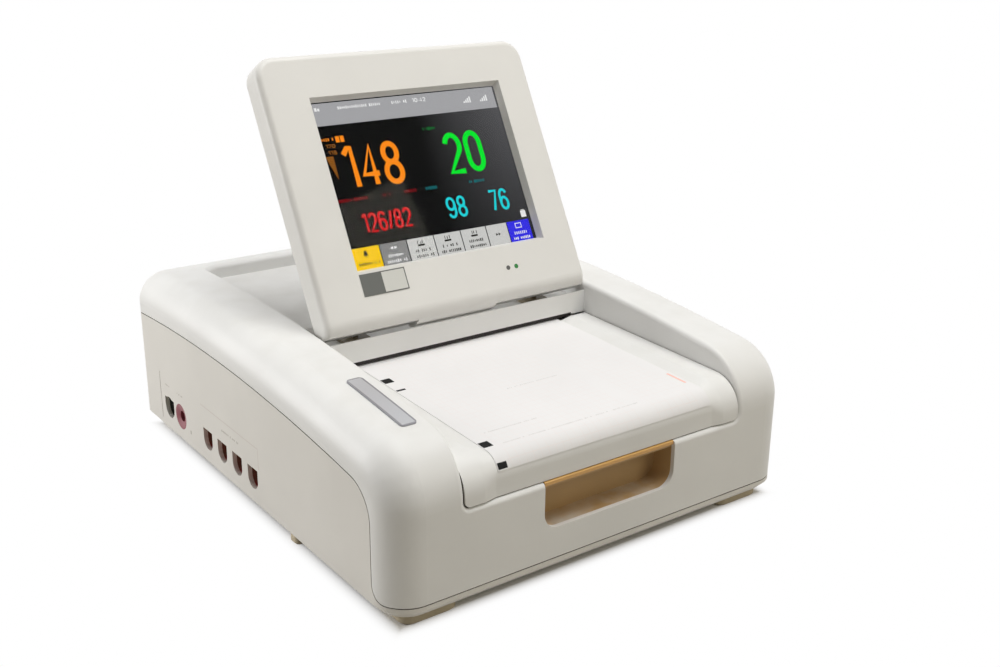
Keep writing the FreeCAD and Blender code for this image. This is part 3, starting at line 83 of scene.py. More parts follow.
# Frames that the pieces are drawn in: x to the right, y upwards, z out of the face
DISPLAY_TILT = math.radians(-JOINTS["display_tilt"]["range_deg"][0])
DISPLAY_HINGE = Vector(JOINTS["display_tilt"]["pos_m"])
DISPLAY = Matrix.Translation(DISPLAY_HINGE) @ Matrix.Rotation(DISPLAY_TILT, 4, "X")
LEFT_TURN = Matrix(((0, 0, -1, 0), (-1, 0, 0, 0), (0, 1, 0, 0), (0, 0, 0, 1)))
LEFT_FACE = Matrix.Translation((CAD_BOX[0].x, 0, 0)) @ LEFT_TURN
ROCKER_FACE = Matrix.Rotation(math.pi, 4, "Z") @ Matrix.Rotation(math.pi / 2, 4, "X")
UNDERSIDE = Matrix.Rotation(math.pi, 4, "X")
LEVEL = Matrix.Identity(4)

# Sizes of the finishes' and the print's fine detail
RUBBER_GRAIN = 0.9 * MM
RUBBER_CLOUD = 12 * MM
RUBBER_PATCH = 6 * MM
RUBBER_EDGE = 0.8 * MM
RUBBER_RELIEF = 0.08 * MM
METAL_LINE = 0.2 * MM
METAL_EDGE = 0.5 * MM
METAL_RELIEF = 0.03 * MM
BADGE_LINE = 0.15 * MM
BADGE_RIM = 1.1 * MM
BADGE_RELIEF = 0.02 * MM
SOCKET_GRAIN = 0.4 * MM
SOCKET_CLOUD = 6 * MM
SOCKET_RELIEF = 0.02 * MM
TRACK_PITCH = 1.6 * MM
TRACK_WIDTH = 0.6 * MM
TRACK_HEIGHT = 0.04 * MM
TRACK_SWAY = 20 * MM
LEAF_PITCH = 0.6 * MM
LEAF_GAP = 0.25 * MM
FIBRE_RELIEF = 0.03 * MM
PLATE_OUTLINE = 0.7 * MM
PALE_OVERLAP = 1.5 * MM
PRINT_RELIEF = 0.01 * MM
INK_THICKNESS = 0.03 * MM
PRINT_STEP = 6 * MM

# From a frame's face to where lines towards it start
LOOK_FROM = 500 * MM

# How near two corners of a drawing or of a CAD node lie when they are one
DRAWN_WELD = 0.0001 * MM
CAD_WELD = 0.001 * MM

# Most degrees between two points of a bow
BOW_STEP = 15

# Widths of a caption's strokes as parts of their pitch, and their heights as parts of the tallest
STROKE_WIDTHS = (0.4, 0.75)
STROKE_HEIGHTS = (0.5, 1.0)

# How many specks, fibres and clouds a metre has
TARNISH_CLOUDS = 60.0
BOARD_BENDS = 40.0
BOARD_CLOUDS = 90.0
FIBRES = 1800.0
PAPER_CLOUDS = 30.0
RULE_PATCHES = 120.0
PLATE_SPECKS = 2500.0
LENS_FACETS = 2500.0
GLASS_SMEARS = 35.0
GLASS_CLOUDS = 20.0
SCREEN_SPECKS = 300.0
INK_SPECKS = 3000.0

# How much a metal's lines are drawn out
DRAWN_SHARE = 0.03

# Where most values of a noise lie, near its middle and nearly all, and the whole range of a mask
MIDDLE = (0.3, 0.7)
NEARLY_ALL = (0.25, 0.75)
WHOLE = (0.0, 1.0)

# Where a mask starts and where it is full: by how well a rounded edge matches the face, by how open a
# seam is for its painted shade, by how far a face looks up, by the patches of dust (laid on thickly, painted
# light) and by half widths from a line's middle
EDGE_MASK = (0.99, 0.75)
SEAM_MASK = (0.42, 0.15)
UPWARD_MASK = (0.6, 1.0)
PATCH_MASK = (0.4, 0.8)
LINE_MASK = (1.3, 0.7)

# Colours as a shader takes them
BLACK = (0.0, 0.0, 0.0, 1.0)
WHITE = (1.0, 1.0, 1.0, 1.0)


def corners(points):
    """Lowest and highest corner of some points."""
    low = Vector(min(point[axis] for point in points) for axis in range(3))
    return low, Vector(max(point[axis] for point in points) for axis in range(3))


def local_box(node, place):
    """Lowest and highest corner of a CAD node in a frame of its own."""
    inverse = place.inverted()
    return corners([inverse @ vertex.co for vertex in NODES[node].data.vertices])


GLASS_LOW = local_box("touch_glass", DISPLAY)[0]
PLATE_LOW, PLATE_HIGH = local_box("front_plate", DISPLAY)
BADGE_LOW, BADGE_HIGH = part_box("badge_plate")
PAPER_LOW, PAPER_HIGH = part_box("chart_paper")
ROCKER_LOW, ROCKER_HIGH = local_box("power_rocker", ROCKER_FACE)


def colour(name, description, value):
    """A colour as it shows on a display."""
    return FloatVectorProperty(name=name, description=description, default=value, size=3, min=0.0, max=1.0,
                               subtype="COLOR_GAMMA")


def length(name, description, millimetres):
    """A length, given in millimetres and kept in metres."""
    return FloatProperty(name=name, description=description, default=millimetres * MM, precision=5,
                         subtype="DISTANCE", unit="LENGTH")


def share(name, description, value):
    """A part of a whole."""
    return FloatProperty(name=name, description=description, default=value, min=0.0, max=1.0,
                         subtype="FACTOR")


def wording(name, description, value):
    """Figures that are shown."""
    return StringProperty(name=name, description=description, default=value)


def wattage(name, description, watts):
    """A lamp's power."""
    return FloatProperty(name=name, description=description, default=watts, unit="POWER")


def spot(name, description, place):
    """A place in the frame, in metres."""
    return FloatVectorProperty(name=name, description=description, default=place, subtype="TRANSLATION",
                               unit="LENGTH")


def rotation(name, description, degrees):
    """An angle, given in degrees and kept in radians."""
    return FloatProperty(name=name, description=description, default=math.radians(degrees), subtype="ANGLE",
                         unit="ROTATION")


class ShellFinish(bpy.types.PropertyGroup):
    """Colours and grain of the moulded pieces."""
    lower_shell: colour("Lower shell", "Warm ivory of the tray and its sides", (0.878, 0.866, 0.842))
    cover: colour("Cover", "Ivory of the arms, the front and the table", (0.910, 0.909, 0.902))
    display_shell: colour("Display shell", "Cooler ivory of the display's two shells", (0.885, 0.880, 0.865))
    # Also painted light where it is laid on thickly, as on the finger pocket's floor
    dust_and_top_light: colour("Settled dust", "Tint that settles on faces that look up", (0.80, 0.79, 0.76))
    # Painted shade: this tan stands in for the ivory pocket in shadow with a warm reflection
    pocket_shade: colour("Finger pocket", "Tan of the pocket behind the front opening", (0.75, 0.625, 0.445))
    release: colour("Release bar", "Amber of the bar above the pocket", (0.86, 0.66, 0.36))
    crimson: colour("Probe sockets", "Crimson of the probe socket bodies", (0.66, 0.12, 0.20))
    # Painted shade: the brown stands in for the shaded front-facing walls of the sockets
    socket_wall_shade: colour("Socket wall", "Brown of the worn lead-in walls", (0.43, 0.31, 0.235))
    rose: colour("Pressure port", "Rose of the pressure port's ring", (0.57, 0.29, 0.325))
    # Painted shade: the near black guide makes the paper slot's shadow
    guide: colour("Paper guide", "Brown black of the bar that the paper slips under", (0.115, 0.09, 0.085))
    # Colour of the painted shade laid in the seams
    seam: colour("Seams", "Brown grime that settles in the seams", (0.30, 0.25, 0.18))
    dark: colour("Dark fittings", "Nearly black green grey of the small fittings", (0.20, 0.21, 0.19))
    tub: colour("Paper tub", "Grey of the paper tub", (0.66, 0.64, 0.60))
    gear: colour("Gears and bushes", "Natural white of the running plastic", (0.88, 0.87, 0.82))
    grain_size: length("Grain size", "Width of one pit of the moulded texture", 0.55)
    grain_depth: length("Grain depth", "Depth of the moulded texture", 0.02)
    edge_radius: length("Polished edge", "How far from an edge handling has polished it", 0.7)
    # Reach of the ambient occlusion that lays the painted seam shade
    seam_reach: length("Seam reach", "How near another wall is where grime settles", 2.0)


class FittingFinish(bpy.types.PropertyGroup):
    """Colours of rubber, metal, boards and printed plates."""
    foot: colour("Feet", "Taupe of the rubber feet", (0.82, 0.77, 0.67))
    roller: colour("Roller", "Black of the platen sleeve", (0.13, 0.13, 0.13))
    hose: colour("Hose", "Pale grey of the air hose", (0.76, 0.76, 0.73))
    # Painted shade: the olive tan stands in for the shadow in the lip's notches
    hinge: colour("Hinge paint", "Olive tan paint of the hinge brackets and pins", (0.50, 0.46, 0.37))
    steel: colour("Steel", "Plated steel", (0.74, 0.74, 0.73))
    sheet_steel: colour("Sheet steel", "Zinc on the rear panel and the frames", (0.70, 0.71, 0.70))
    alloy: colour("Alloy", "Extruded alloy of the head's sink", (0.80, 0.81, 0.82))
    case: colour("Supply case", "Folded alloy case", (0.76, 0.77, 0.78))
    brass: colour("Brass", "Inserts, pins and stud", (0.83, 0.70, 0.42))
    badge: colour("Badge", "Satin metal of the bare badge", (0.77, 0.775, 0.79))
    # Painted shade along the badge's rim
    badge_rim: colour("Badge rim", "Darker rim of the badge", (0.58, 0.58, 0.60))
    board: colour("Boards", "Green of the coated boards", (0.10, 0.42, 0.24))
    track: colour("Tracks", "Lighter green of the boards' tracks", (0.20, 0.55, 0.34))
    ceramic: colour("Print head", "Ceramic strip of the print head", (0.88, 0.87, 0.83))
    plate_dark: colour("Plate, dark half", "Printed dark half of the front plate", (0.33, 0.34, 0.33))
    plate_pale: colour("Plate, pale half", "Printed pale half of the front plate", (0.80, 0.80, 0.78))
    standby_lamp: colour("Standby lamp", "Lens of the lamp that is off", (0.36, 0.36, 0.35))
    power_lamp: colour("Power lamp", "Lens of the lamp that is lit", (0.04, 0.40, 0.13))
    side_print: colour("Side print", "Pale grey ink above the sockets", (0.68, 0.66, 0.63))
    side_line: colour("Side line", "Faint ink of the line round the sockets", (0.80, 0.77, 0.75))
    switch_print: colour("Switch print", "White ink on the rocker", (0.90, 0.90, 0.88))
    pin_radius: length("Contact radius", "Radius of one socket contact", 0.45)
    pin_length: length("Contact length", "How far a contact stands out of its socket's floor", 3.4)
    pin_pitch: length("Contact pitch", "Distance between two contacts", 2.6)
    pin_rise: length("Contact rise", "How far the contacts sit above a socket's middle", 0.8)
    probe_floor: length("Probe floor", "Depth of a probe socket's floor behind the side", 8.8)
    pulse_floor: length("Pulse floor", "Depth of the pulse socket's floor behind the side", 11.8)
    head_height: length("Screw head", "Height of a screw's cross recessed head", 0.5)
    print_rise: length("Print rise", "From the sockets' upper edge to the line above them", 13.2)
    print_line: length("Print line", "Width of the line round the sockets", 0.5)
    print_drop: length("Print drop", "How far the line comes down at the end of the sockets", 14.0)
    print_pitch: length("Side print pitch", "Distance between two strokes of the side print", 1.5)
    print_height: length("Side print height", "Height of the side print", 1.4)
    switch_bar: length("Switch bar", "Half the length of the bar on the rocker", 1.6)
    switch_ring: length("Switch ring", "Radius of the ring on the rocker", 1.8)
    switch_bore: length("Switch bore", "Radius of the hole in the ring on the rocker", 1.15)
    switch_line: length("Switch line", "Width of the bar on the rocker", 0.7)


class ScreenPicture(bpy.types.PropertyGroup):
    """Sizes, colours and figures of the picture on the screen."""
    left: length("Left edge", "Left edge of the picture that is seen, from the display's middle", -64.6)
    right: length("Right edge", "Right edge of the picture, from the display's middle", 71.0)
    low: length("Lower edge", "Lower edge of the picture, from the hinge", 26.9)
    high: length("Upper edge", "Upper edge of the picture, from the hinge", 133.4)
    drawn_width: length("Drawn width", "Width that the places in the picture are given for", 138.5)
    overlap: length("Overlap", "How far the dark ground runs past the picture", 0.5)
    bleed: length("Bleed", "How far the picture runs on behind the bezel's left edge", 1.8)
    layer: length("Layer", "Thickness of one layer of the picture", 0.03)
    bar_height: length("Status bar", "Height of the grey bar at the top", 14.4)
    key_height: length("Key row", "Height of the row of keys at the bottom", 13.8)
    key_gap: length("Key gap", "Black gap between two keys", 0.7)
    stroke_pitch: length("Stroke pitch", "Distance between the strokes of a caption", 1.35)
    stroke_height: length("Stroke height", "Height of the tallest strokes of a caption", 2.3)
    figure_stroke: share("Figure stroke", "Width of a figure's stroke as a part of its height", 0.125)
    raster: length("Raster", "Pitch of the picture's dots", 0.26)
    rate_figures: wording("Heart rate", "Large figures at the left", "148")
    toco_figures: wording("Contractions", "Large figures at the right", "20")
    pressure_figures: wording("Pressure", "Figures at the lower left", "126/82")
    oxygen_figures: wording("Oxygen", "Figures at the lower middle", "98")
    pulse_figures: wording("Pulse", "Figures at the lower right", "76")
    clock_figures: wording("Clock", "Figures in the status bar", "10:42")
    black: colour("Black", "Unlit screen", (0.0, 0.0, 0.0))
    # Painted reflection: a pale sheen over the screen's upper right, given as emission of the dark ground
    sheen_start: share("Sheen start", "Where the glow starts across the picture", 0.52)
    sheen: colour("Sheen", "Pale glow of the screen's upper right corner", (0.36, 0.36, 0.37))
    orange: colour("Orange", "Heart rate", (1.0, 0.56, 0.10))
    amber: colour("Dim orange", "Limits and captions of the heart rate", (0.62, 0.38, 0.12))
    green: colour("Green", "Contractions", (0.02, 0.90, 0.18))
    dim_green: colour("Dim green", "Caption of the contractions", (0.02, 0.46, 0.18))
    red: colour("Red", "Pressure", (0.86, 0.09, 0.12))
    dim_red: colour("Dim red", "Captions of the pressure", (0.52, 0.06, 0.09))
    cyan: colour("Cyan", "Oxygen and pulse", (0.12, 0.82, 0.85))
    dim_cyan: colour("Dim cyan", "Captions of oxygen and pulse", (0.07, 0.45, 0.47))
    bar_grey: colour("Bar grey", "Status bar", (0.65, 0.65, 0.66))
    white: colour("White", "Small marks", (0.92, 0.92, 0.92))
    yellow: colour("Yellow", "First key", (0.98, 0.80, 0.04))
    mid_grey: colour("Mid grey", "Second key", (0.52, 0.52, 0.52))
    pale_grey: colour("Pale grey", "Middle keys", (0.80, 0.80, 0.79))
    blue: colour("Blue", "Last key", (0.21, 0.19, 0.90))
    ink: colour("Key ink", "Dark marks on pale keys", (0.16, 0.15, 0.13))


class ChartPrint(bpy.types.PropertyGroup):
    """Sizes and inks of the chart paper's print."""
    sheet: colour("Paper", "Thermal chart paper", (0.915, 0.910, 0.911))
    rule: colour("Ruling", "Faint ruling ink", (0.912, 0.888, 0.884))
    jotting: colour("Printed rows", "Grey ink of the rows of small print", (0.80, 0.795, 0.79))
    mark: colour("Fold marks", "Black ink of the fold marks", (0.018, 0.018, 0.018))
    edge_ink: colour("Edge line", "Red ink of the short line near the edge", (0.92, 0.74, 0.69))
    rule_pitch: length("Rule pitch", "Distance between two ruled lines", 5.0)
    rule_width: length("Rule width", "Width of a ruled line", 0.35)
    left_field: length("Left field", "Right edge of the wide field from the middle", 24.0)
    right_field: length("Right field", "Left edge of the narrow field from the middle", 36.0)
    margin: length("Margin", "Bare margin at the paper's two sides", 8.0)
    mark_side: length("Fold mark", "Side of a square fold mark", 6.2)
    mark_in: length("Fold mark inset", "From the paper's left edge to the mark", 0.4)
    mark_y: length("First fold mark", "Rear edge of the first fold mark", -46.5)
    mark_run: length("Fold length", "Distance from one fold to the next", 99.0)
    dash_after: length("Dash place", "From a fold mark's front edge to its dash", 11.2)
    dash_length: length("Dash length", "Length of the dash", 6.0)
    dash_width: length("Dash width", "Width of the dash", 1.9)
    jotting_pitch: length("Print pitch", "Distance between two strokes of the small print", 1.3)
    jotting_height: length("Print height", "Height of the small print", 1.1)
    edge_in: length("Edge line inset", "From the paper's right edge to the short line", 3.2)
    edge_width: length("Edge line width", "Width of the short line", 1.6)
    edge_front: length("Edge line front", "Front end of the short line", -146.0)
    edge_rear: length("Edge line rear", "Rear end of the short line", -130.0)


class StageSetup(bpy.types.PropertyGroup):
    """Floor, lamps and camera."""
    floor: colour("Floor", "Pale floor as the camera sees it", (0.985, 0.985, 0.985))
    floor_bounce: colour("Floor bounce", "Pale floor as the object is lit by it", (0.69, 0.67, 0.625))
    floor_radius: length("Floor radius", "Radius of the floor", 6000.0)
    shadow_end: length("Shadow reach", "From the object's outline to where the shadow starts to fade", -10.0)
    white_start: length("White from", "From the object's outline to where the floor is plain white", 2.0)
    shadow_fade: FloatProperty(name="Shadow fade", description="How soon the shadow fades to white",
                               default=2.5, min=0.1)
    ambient: FloatProperty(name="Ambient", description="Level of the light from all round", default=0.15,
                           min=0.0)
    ambient_tint: colour("Ambient tint", "Warm tint of the light from all round", (1.0, 0.975, 0.93))
    key_power: wattage("Top lamp", "Power of the soft lamp overhead", 18.9)
    key_side: length("Top lamp size", "Side of the soft lamp overhead", 1100.0)
    key_place: spot("Top lamp place", "Middle of the soft lamp overhead", (0.19, -0.2, 1.5))
    fill_power: wattage("Side lamp", "Power of the soft lamp at the left", 13.2)
    fill_side: length("Side lamp size", "Side of the soft lamp at the left", 900.0)
    fill_place: spot("Side lamp place", "Middle of the soft lamp at the left", (-1.05, 0.85, 0.3))
    front_power: wattage("Front lamp", "Power of the soft lamp before the front", 3.85)
    front_side: length("Front lamp size", "Side of the soft lamp before the front", 500.0)
    front_place: spot("Front lamp place", "Middle of the soft lamp before the front", (0.62, -1.2, 0.9))
    front_tint: colour("Front lamp tint", "Warm tint of the soft lamp before the front", (1.0, 0.972, 0.895))
    camera_place: spot("Camera place", "Where the camera stands", (-0.41428, -0.62327, 0.35659))
    camera_azimuth: rotation("Camera azimuth", "Turn of the camera about the upright axis", -36.367)
    camera_elevation: rotation("Camera elevation", "How far the camera looks down", 19.766)
    camera_roll: rotation("Camera roll", "Lean of the camera about its view", 0.608)
    camera_lens: FloatProperty(name="Focal length", description="Focal length on a 36 mm wide frame",
                               default=43.967, subtype="DISTANCE_CAMERA")


def shell():
    return bpy.context.scene.monitor_shell


def fitting():
    return bpy.context.scene.monitor_fitting


def picture():
    return bpy.context.scene.monitor_picture


def chart():
    return bpy.context.scene.monitor_chart


def stage_setup():
    return bpy.context.scene.monitor_stage


# Node trees

def linear(value):
    """A display colour as the four numbers that a shader takes."""
    return (*Color(value).from_srgb_to_scene_linear(), 1.0)


def fill(tree, node, inputs):
    """Sets a node's inputs or, where a socket is given, links them."""
    for key, value in inputs.items():
        if isinstance(value, bpy.types.NodeSocket):
            tree.links.new(value, node.inputs[key])
        else:
            node.inputs[key].default_value = value


def feed(tree, node, **inputs):
    """Sets or links a node's inputs by their names."""
    fill(tree, node, {name.replace("_", " "): value for name, value in inputs.items()})


def add(tree, kind, inputs=None, **settings):
    """A new node with its settings and inputs."""
    node = tree.nodes.new(kind)
    for name, value in settings.items():
        setattr(node, name, value)
    fill(tree, node, inputs or {})
    return node


def calc(tree, operation, *values):
    """The result of one sum on numbers or sockets."""
    return add(tree, "ShaderNodeMath", dict(enumerate(values)), operation=operation).outputs[0]


def spread(tree, value, low, high, new_low=0.0, new_high=1.0):
    """A value brought from one range to another, and kept inside it."""
    ranges = {"Value": value, "From Min": low, "From Max": high, "To Min": new_low, "To Max": new_high}
    return add(tree, "ShaderNodeMapRange", ranges).outputs["Result"]


def blend(tree, factor, first, second):
    """A colour between two colours."""
    return add(tree, "ShaderNodeMix", {0: factor, 6: first, 7: second}, data_type="RGBA").outputs[2]


def own_place(tree):
    """The object's own coordinates."""
    return add(tree, "ShaderNodeTexCoord").outputs["Object"]


def apart(tree, place):
    """The three parts of a place or a direction."""
    return add(tree, "ShaderNodeSeparateXYZ", {"Vector": place}).outputs


def display_parts(tree):
    """The display's own coordinates, one by one."""
    turned = add(tree, "ShaderNodeMapping", {"Vector": own_place(tree), "Location": DISPLAY_HINGE,
                                             "Rotation": (DISPLAY_TILT, 0.0, 0.0)}, vector_type="TEXTURE")
    return apart(tree, turned.outputs[0])


def facing(tree, axis):
    """How far a face looks along an axis."""
    return apart(tree, add(tree, "ShaderNodeNewGeometry").outputs["Normal"])[axis]


def room_inside(tree, parts, low, high):
    """How far a point lies inside a rectangle's four sides."""
    sides = [calc(tree, "SUBTRACT", parts["XY"[axis]], low[axis]) for axis in range(2)]
    sides += [calc(tree, "SUBTRACT", high[axis], parts["XY"[axis]]) for axis in range(2)]
    return calc(tree, "MINIMUM", calc(tree, "MINIMUM", *sides[:2]), calc(tree, "MINIMUM", *sides[2:]))


def noise(tree, scale, detail=2.0, place=None):
    """Soft random values over the object's own coordinates."""
    inputs = {"Vector": place or own_place(tree), "Scale": scale, "Detail": detail}
    return add(tree, "ShaderNodeTexNoise", inputs).outputs["Fac"]


def new_tree(name, kind, inputs, outputs):
    """An empty group with its sockets, and its two end nodes."""
    tree = bpy.data.node_groups.new(name, kind)
    for label, socket, value in inputs:
        item = tree.interface.new_socket(name=label, in_out="INPUT", socket_type="NodeSocket" + socket)
        if value is not None:
            item.default_value = value
    for label, socket in outputs:
        tree.interface.new_socket(name=label, in_out="OUTPUT", socket_type="NodeSocket" + socket)
    return tree, tree.nodes.new("NodeGroupInput").outputs, tree.nodes.new("NodeGroupOutput")


def typed(inputs):
    """The sockets for some first values, by the kind of each value."""
    kinds = {float: "Float", int: "Int", tuple: "Vector"}
    return [(label.replace("_", " "), kinds[type(value)], value) for label, value in inputs.items()]


def shader_tree(name, outputs, **inputs):
    """An empty shader group that gives numbers."""
    return new_tree(name, "ShaderNodeTree", typed(inputs), [(label, "Float") for label in outputs])


def geometry_tree(name, start, **inputs):
    """An empty geometry group that makes a mesh of one material from points or rows."""
    sockets = [(start, "Geometry", None), *typed(inputs), ("Material", "Material", None)]
    return new_tree(name, "GeometryNodeTree", sockets, [("Mesh", "Geometry")])


def moulded_grain():
    """Fine pits of a moulded face and its broad, faint unevenness."""
    tree, given, end = shader_tree("Moulded grain", ("Height", "Tone"), Grain_Size=0.0005, Mottle_Size=0.05)
    fine = calc(tree, "DIVIDE", 1.0, given["Grain Size"])
    pits = add(tree, "ShaderNodeTexVoronoi", {"Vector": own_place(tree), "Scale": fine}).outputs["Distance"]
    specks = noise(tree, calc(tree, "MULTIPLY", fine, 0.6))
    broad = noise(tree, calc(tree, "DIVIDE", 1.0, given["Mottle Size"]), 4.0)
    feed(tree, end, Height=calc(tree, "ADD", calc(tree, "MULTIPLY", pits, 0.5), specks),
         Tone=spread(tree, broad, *MIDDLE))
    return tree


def polished_edge():
    """Where handling has polished an edge."""
    tree, given, end = shader_tree("Polished edge", ("Mask",), Radius=0.001)
    rounded = add(tree, "ShaderNodeBevel", {"Radius": given["Radius"]}, samples=4).outputs["Normal"]
    flat = add(tree, "ShaderNodeNewGeometry").outputs["Normal"]
    match = add(tree, "ShaderNodeVectorMath", {0: rounded, 1: flat}, operation="DOT_PRODUCT")
    feed(tree, end, Mask=spread(tree, match.outputs["Value"], *EDGE_MASK))
    return tree


def seam_shade():
    """Painted shade where a face lies deep in a narrow seam, found by ambient occlusion."""
    tree, given, end = shader_tree("Seam grime", ("Mask",), Reach=0.002)
    seam = add(tree, "ShaderNodeAmbientOcclusion", {"Distance": given["Reach"]}, samples=8)
    feed(tree, end, Mask=spread(tree, seam.outputs["AO"], *SEAM_MASK))
    return tree


def upward_dust_and_light():
    """Thin uneven dust on faces that look up; laid on thickly it is painted light on those faces."""
    tree, given, end = shader_tree("Settled dust", ("Mask",), Patch_Size=0.02)
    upward = spread(tree, facing(tree, "Z"), *UPWARD_MASK)
    patches = noise(tree, calc(tree, "DIVIDE", 1.0, given["Patch Size"]), 5.0)
    feed(tree, end, Mask=calc(tree, "MULTIPLY", upward, spread(tree, patches, *PATCH_MASK)))
    return tree


def drawn_lines():
    """Long fine scratches of brushed or rolled metal."""
    tree, given, end = shader_tree("Drawn lines", ("Height", "Tone"), Line_Width=0.0002,
                                   Stretch=(0.02, 1.0, 1.0))
    drawn = add(tree, "ShaderNodeVectorMath", {0: own_place(tree), 1: given["Stretch"]}, operation="MULTIPLY")
    fine = noise(tree, calc(tree, "DIVIDE", 1.0, given["Line Width"]), 3.0, drawn.outputs[0])
    feed(tree, end, Height=fine, Tone=spread(tree, noise(tree, TARNISH_CLOUDS, 3.0), *MIDDLE))
    return tree


def ruled_lines():
    """Even lines across one coordinate."""
    tree, given, end = shader_tree("Ruled lines", ("Mask",), Position=0.0, Pitch=0.005, Width=0.0004)
    step = calc(tree, "DIVIDE", given["Position"], given["Pitch"])
    away = calc(tree, "ABSOLUTE", calc(tree, "SUBTRACT", calc(tree, "FRACT", step), 0.5))
    half = calc(tree, "DIVIDE", given["Width"], calc(tree, "MULTIPLY", given["Pitch"], 2.0))
    outer, inner = (calc(tree, "MULTIPLY", half, part) for part in LINE_MASK)
    feed(tree, end, Mask=spread(tree, away, outer, inner))
    return tree


SHARED = {}


def shared(maker):
    """A shared group, built once."""
    if maker.__name__ not in SHARED:
        SHARED[maker.__name__] = maker()
    return SHARED[maker.__name__]


def placed(tree, maker, **inputs):
    """A shared group placed in a material, and its outputs."""
    node = add(tree, "ShaderNodeGroup", node_tree=shared(maker))
    feed(tree, node, **inputs)
    return node.outputs


# Finishes

def toned(value, factor):
    """A shader colour made darker or lighter."""
    return (*(min(1.0, part * factor) for part in value[:3]), 1.0)


def new_material(name):
    material = bpy.data.materials.new(name)
    material.use_nodes = True
    return material, material.node_tree, material.node_tree.nodes["Principled BSDF"]


def rough(tree, surface, height, distance, strength=0.35):
    """Small relief of a face."""
    bump = add(tree, "ShaderNodeBump", {"Height": height, "Distance": distance, "Strength": strength})
    feed(tree, surface, Normal=bump.outputs["Normal"])


def moulded(name, base, roughness, dust_and_top_light=0.25, mottle=0.045, grain=1.0, coat=0.0, seam_shaded=False):
    """Satin moulded plastic with grain, polished edges, dust (laid on thickly, painted light) and, on the
    shells, painted shade in the seams.
    """
    look = shell()
    material, tree, surface = new_material(name)
    pits = placed(tree, moulded_grain, Grain_Size=look.grain_size * grain)
    edge = placed(tree, polished_edge, Radius=look.edge_radius)["Mask"]
    dust_and_light_share = calc(tree, "MULTIPLY", placed(tree, upward_dust_and_light)["Mask"], dust_and_top_light)
    plain = linear(base)
    tint = blend(tree, pits["Tone"], plain, toned(plain, 1 - mottle))
    tint = blend(tree, calc(tree, "MULTIPLY", edge, 0.5), tint, toned(plain, 1.04))
    tint = blend(tree, dust_and_light_share, tint, linear(look.dust_and_top_light))
    # Painted shade: seams darkened by ambient occlusion
    if seam_shaded:
        painted_seam_shade = placed(tree, seam_shade, Reach=look.seam_reach)["Mask"]
        tint = blend(tree, painted_seam_shade, tint, linear(look.seam))
    satin = spread(tree, pits["Tone"], *WHOLE, roughness - 0.04, roughness + 0.05)
    satin = calc(tree, "SUBTRACT", satin, calc(tree, "MULTIPLY", edge, 0.12))
    satin = calc(tree, "ADD", satin, calc(tree, "MULTIPLY", dust_and_light_share, 0.2))
    feed(tree, surface, Base_Color=tint, Roughness=satin, Coat_Weight=coat, Specular_IOR_Level=0.4)
    rough(tree, surface, pits["Height"], look.grain_depth * grain)
    return material


def rubber(name, base, roughness, dust_and_top_light=0.5):
    """Matte rubber with a bloom of dust."""
    material, tree, surface = new_material(name)
    grain = placed(tree, moulded_grain, Grain_Size=RUBBER_GRAIN, Mottle_Size=RUBBER_CLOUD)
    dust_and_light_share = calc(tree, "MULTIPLY", placed(tree, upward_dust_and_light, Patch_Size=RUBBER_PATCH)["Mask"], dust_and_top_light)
    edge = placed(tree, polished_edge, Radius=RUBBER_EDGE)["Mask"]
    plain = linear(base)
    tint = blend(tree, grain["Tone"], plain, toned(plain, 0.82))
    tint = blend(tree, calc(tree, "MULTIPLY", edge, 0.4), tint, toned(plain, 1.3))
    tint = blend(tree, dust_and_light_share, tint, linear(shell().dust_and_top_light))
    matte = spread(tree, grain["Tone"], *WHOLE, roughness - 0.08, roughness + 0.08)
    feed(tree, surface, Base_Color=tint, Roughness=matte, Specular_IOR_Level=0.3)
    rough(tree, surface, grain["Height"], RUBBER_RELIEF, 0.5)
    return material


def metal(name, base, roughness, line_width=METAL_LINE, tarnish=0.15):
    """Drawn or rolled metal with scratches, bright edges and a little tarnish."""
    material, tree, surface = new_material(name)
    lines = placed(tree, drawn_lines, Line_Width=line_width, Stretch=(DRAWN_SHARE, 1.0, 1.0))
    edge = placed(tree, polished_edge, Radius=METAL_EDGE)["Mask"]
    plain = linear(base)
    tint = blend(tree, calc(tree, "MULTIPLY", lines["Tone"], 0.6), plain, toned(plain, 1 - 2 * tarnish))
    tint = blend(tree, edge, tint, toned(plain, 1.2))
    satin = spread(tree, lines["Height"], *NEARLY_ALL, roughness - 0.08, roughness + 0.1)
    feed(tree, surface, Base_Color=tint, Roughness=satin, Metallic=1.0)
    rough(tree, surface, lines["Height"], METAL_RELIEF, 0.4)
    return material


def badge_metal():
    """Satin metal plate with a painted shade darkening its rim."""
    look = fitting()
    material, tree, surface = new_material("badge_metal")
    lines = placed(tree, drawn_lines, Line_Width=BADGE_LINE, Stretch=(1.0, DRAWN_SHARE, 1.0))
    inside = room_inside(tree, apart(tree, own_place(tree)), BADGE_LOW, BADGE_HIGH)
    # Painted shade: a darker rim
    on_shaded_rim = spread(tree, inside, 1.1 * BADGE_RIM, 0.9 * BADGE_RIM)
    plain = linear(look.badge)
    tint = blend(tree, calc(tree, "MULTIPLY", lines["Height"], 0.3), plain, toned(plain, 0.7))
    feed(tree, surface, Base_Color=blend(tree, on_shaded_rim, tint, linear(look.badge_rim)), Metallic=0.55,
         Roughness=spread(tree, lines["Height"], *NEARLY_ALL, 0.32, 0.46))
    rough(tree, surface, lines["Height"], BADGE_RELIEF, 0.3)
    return material


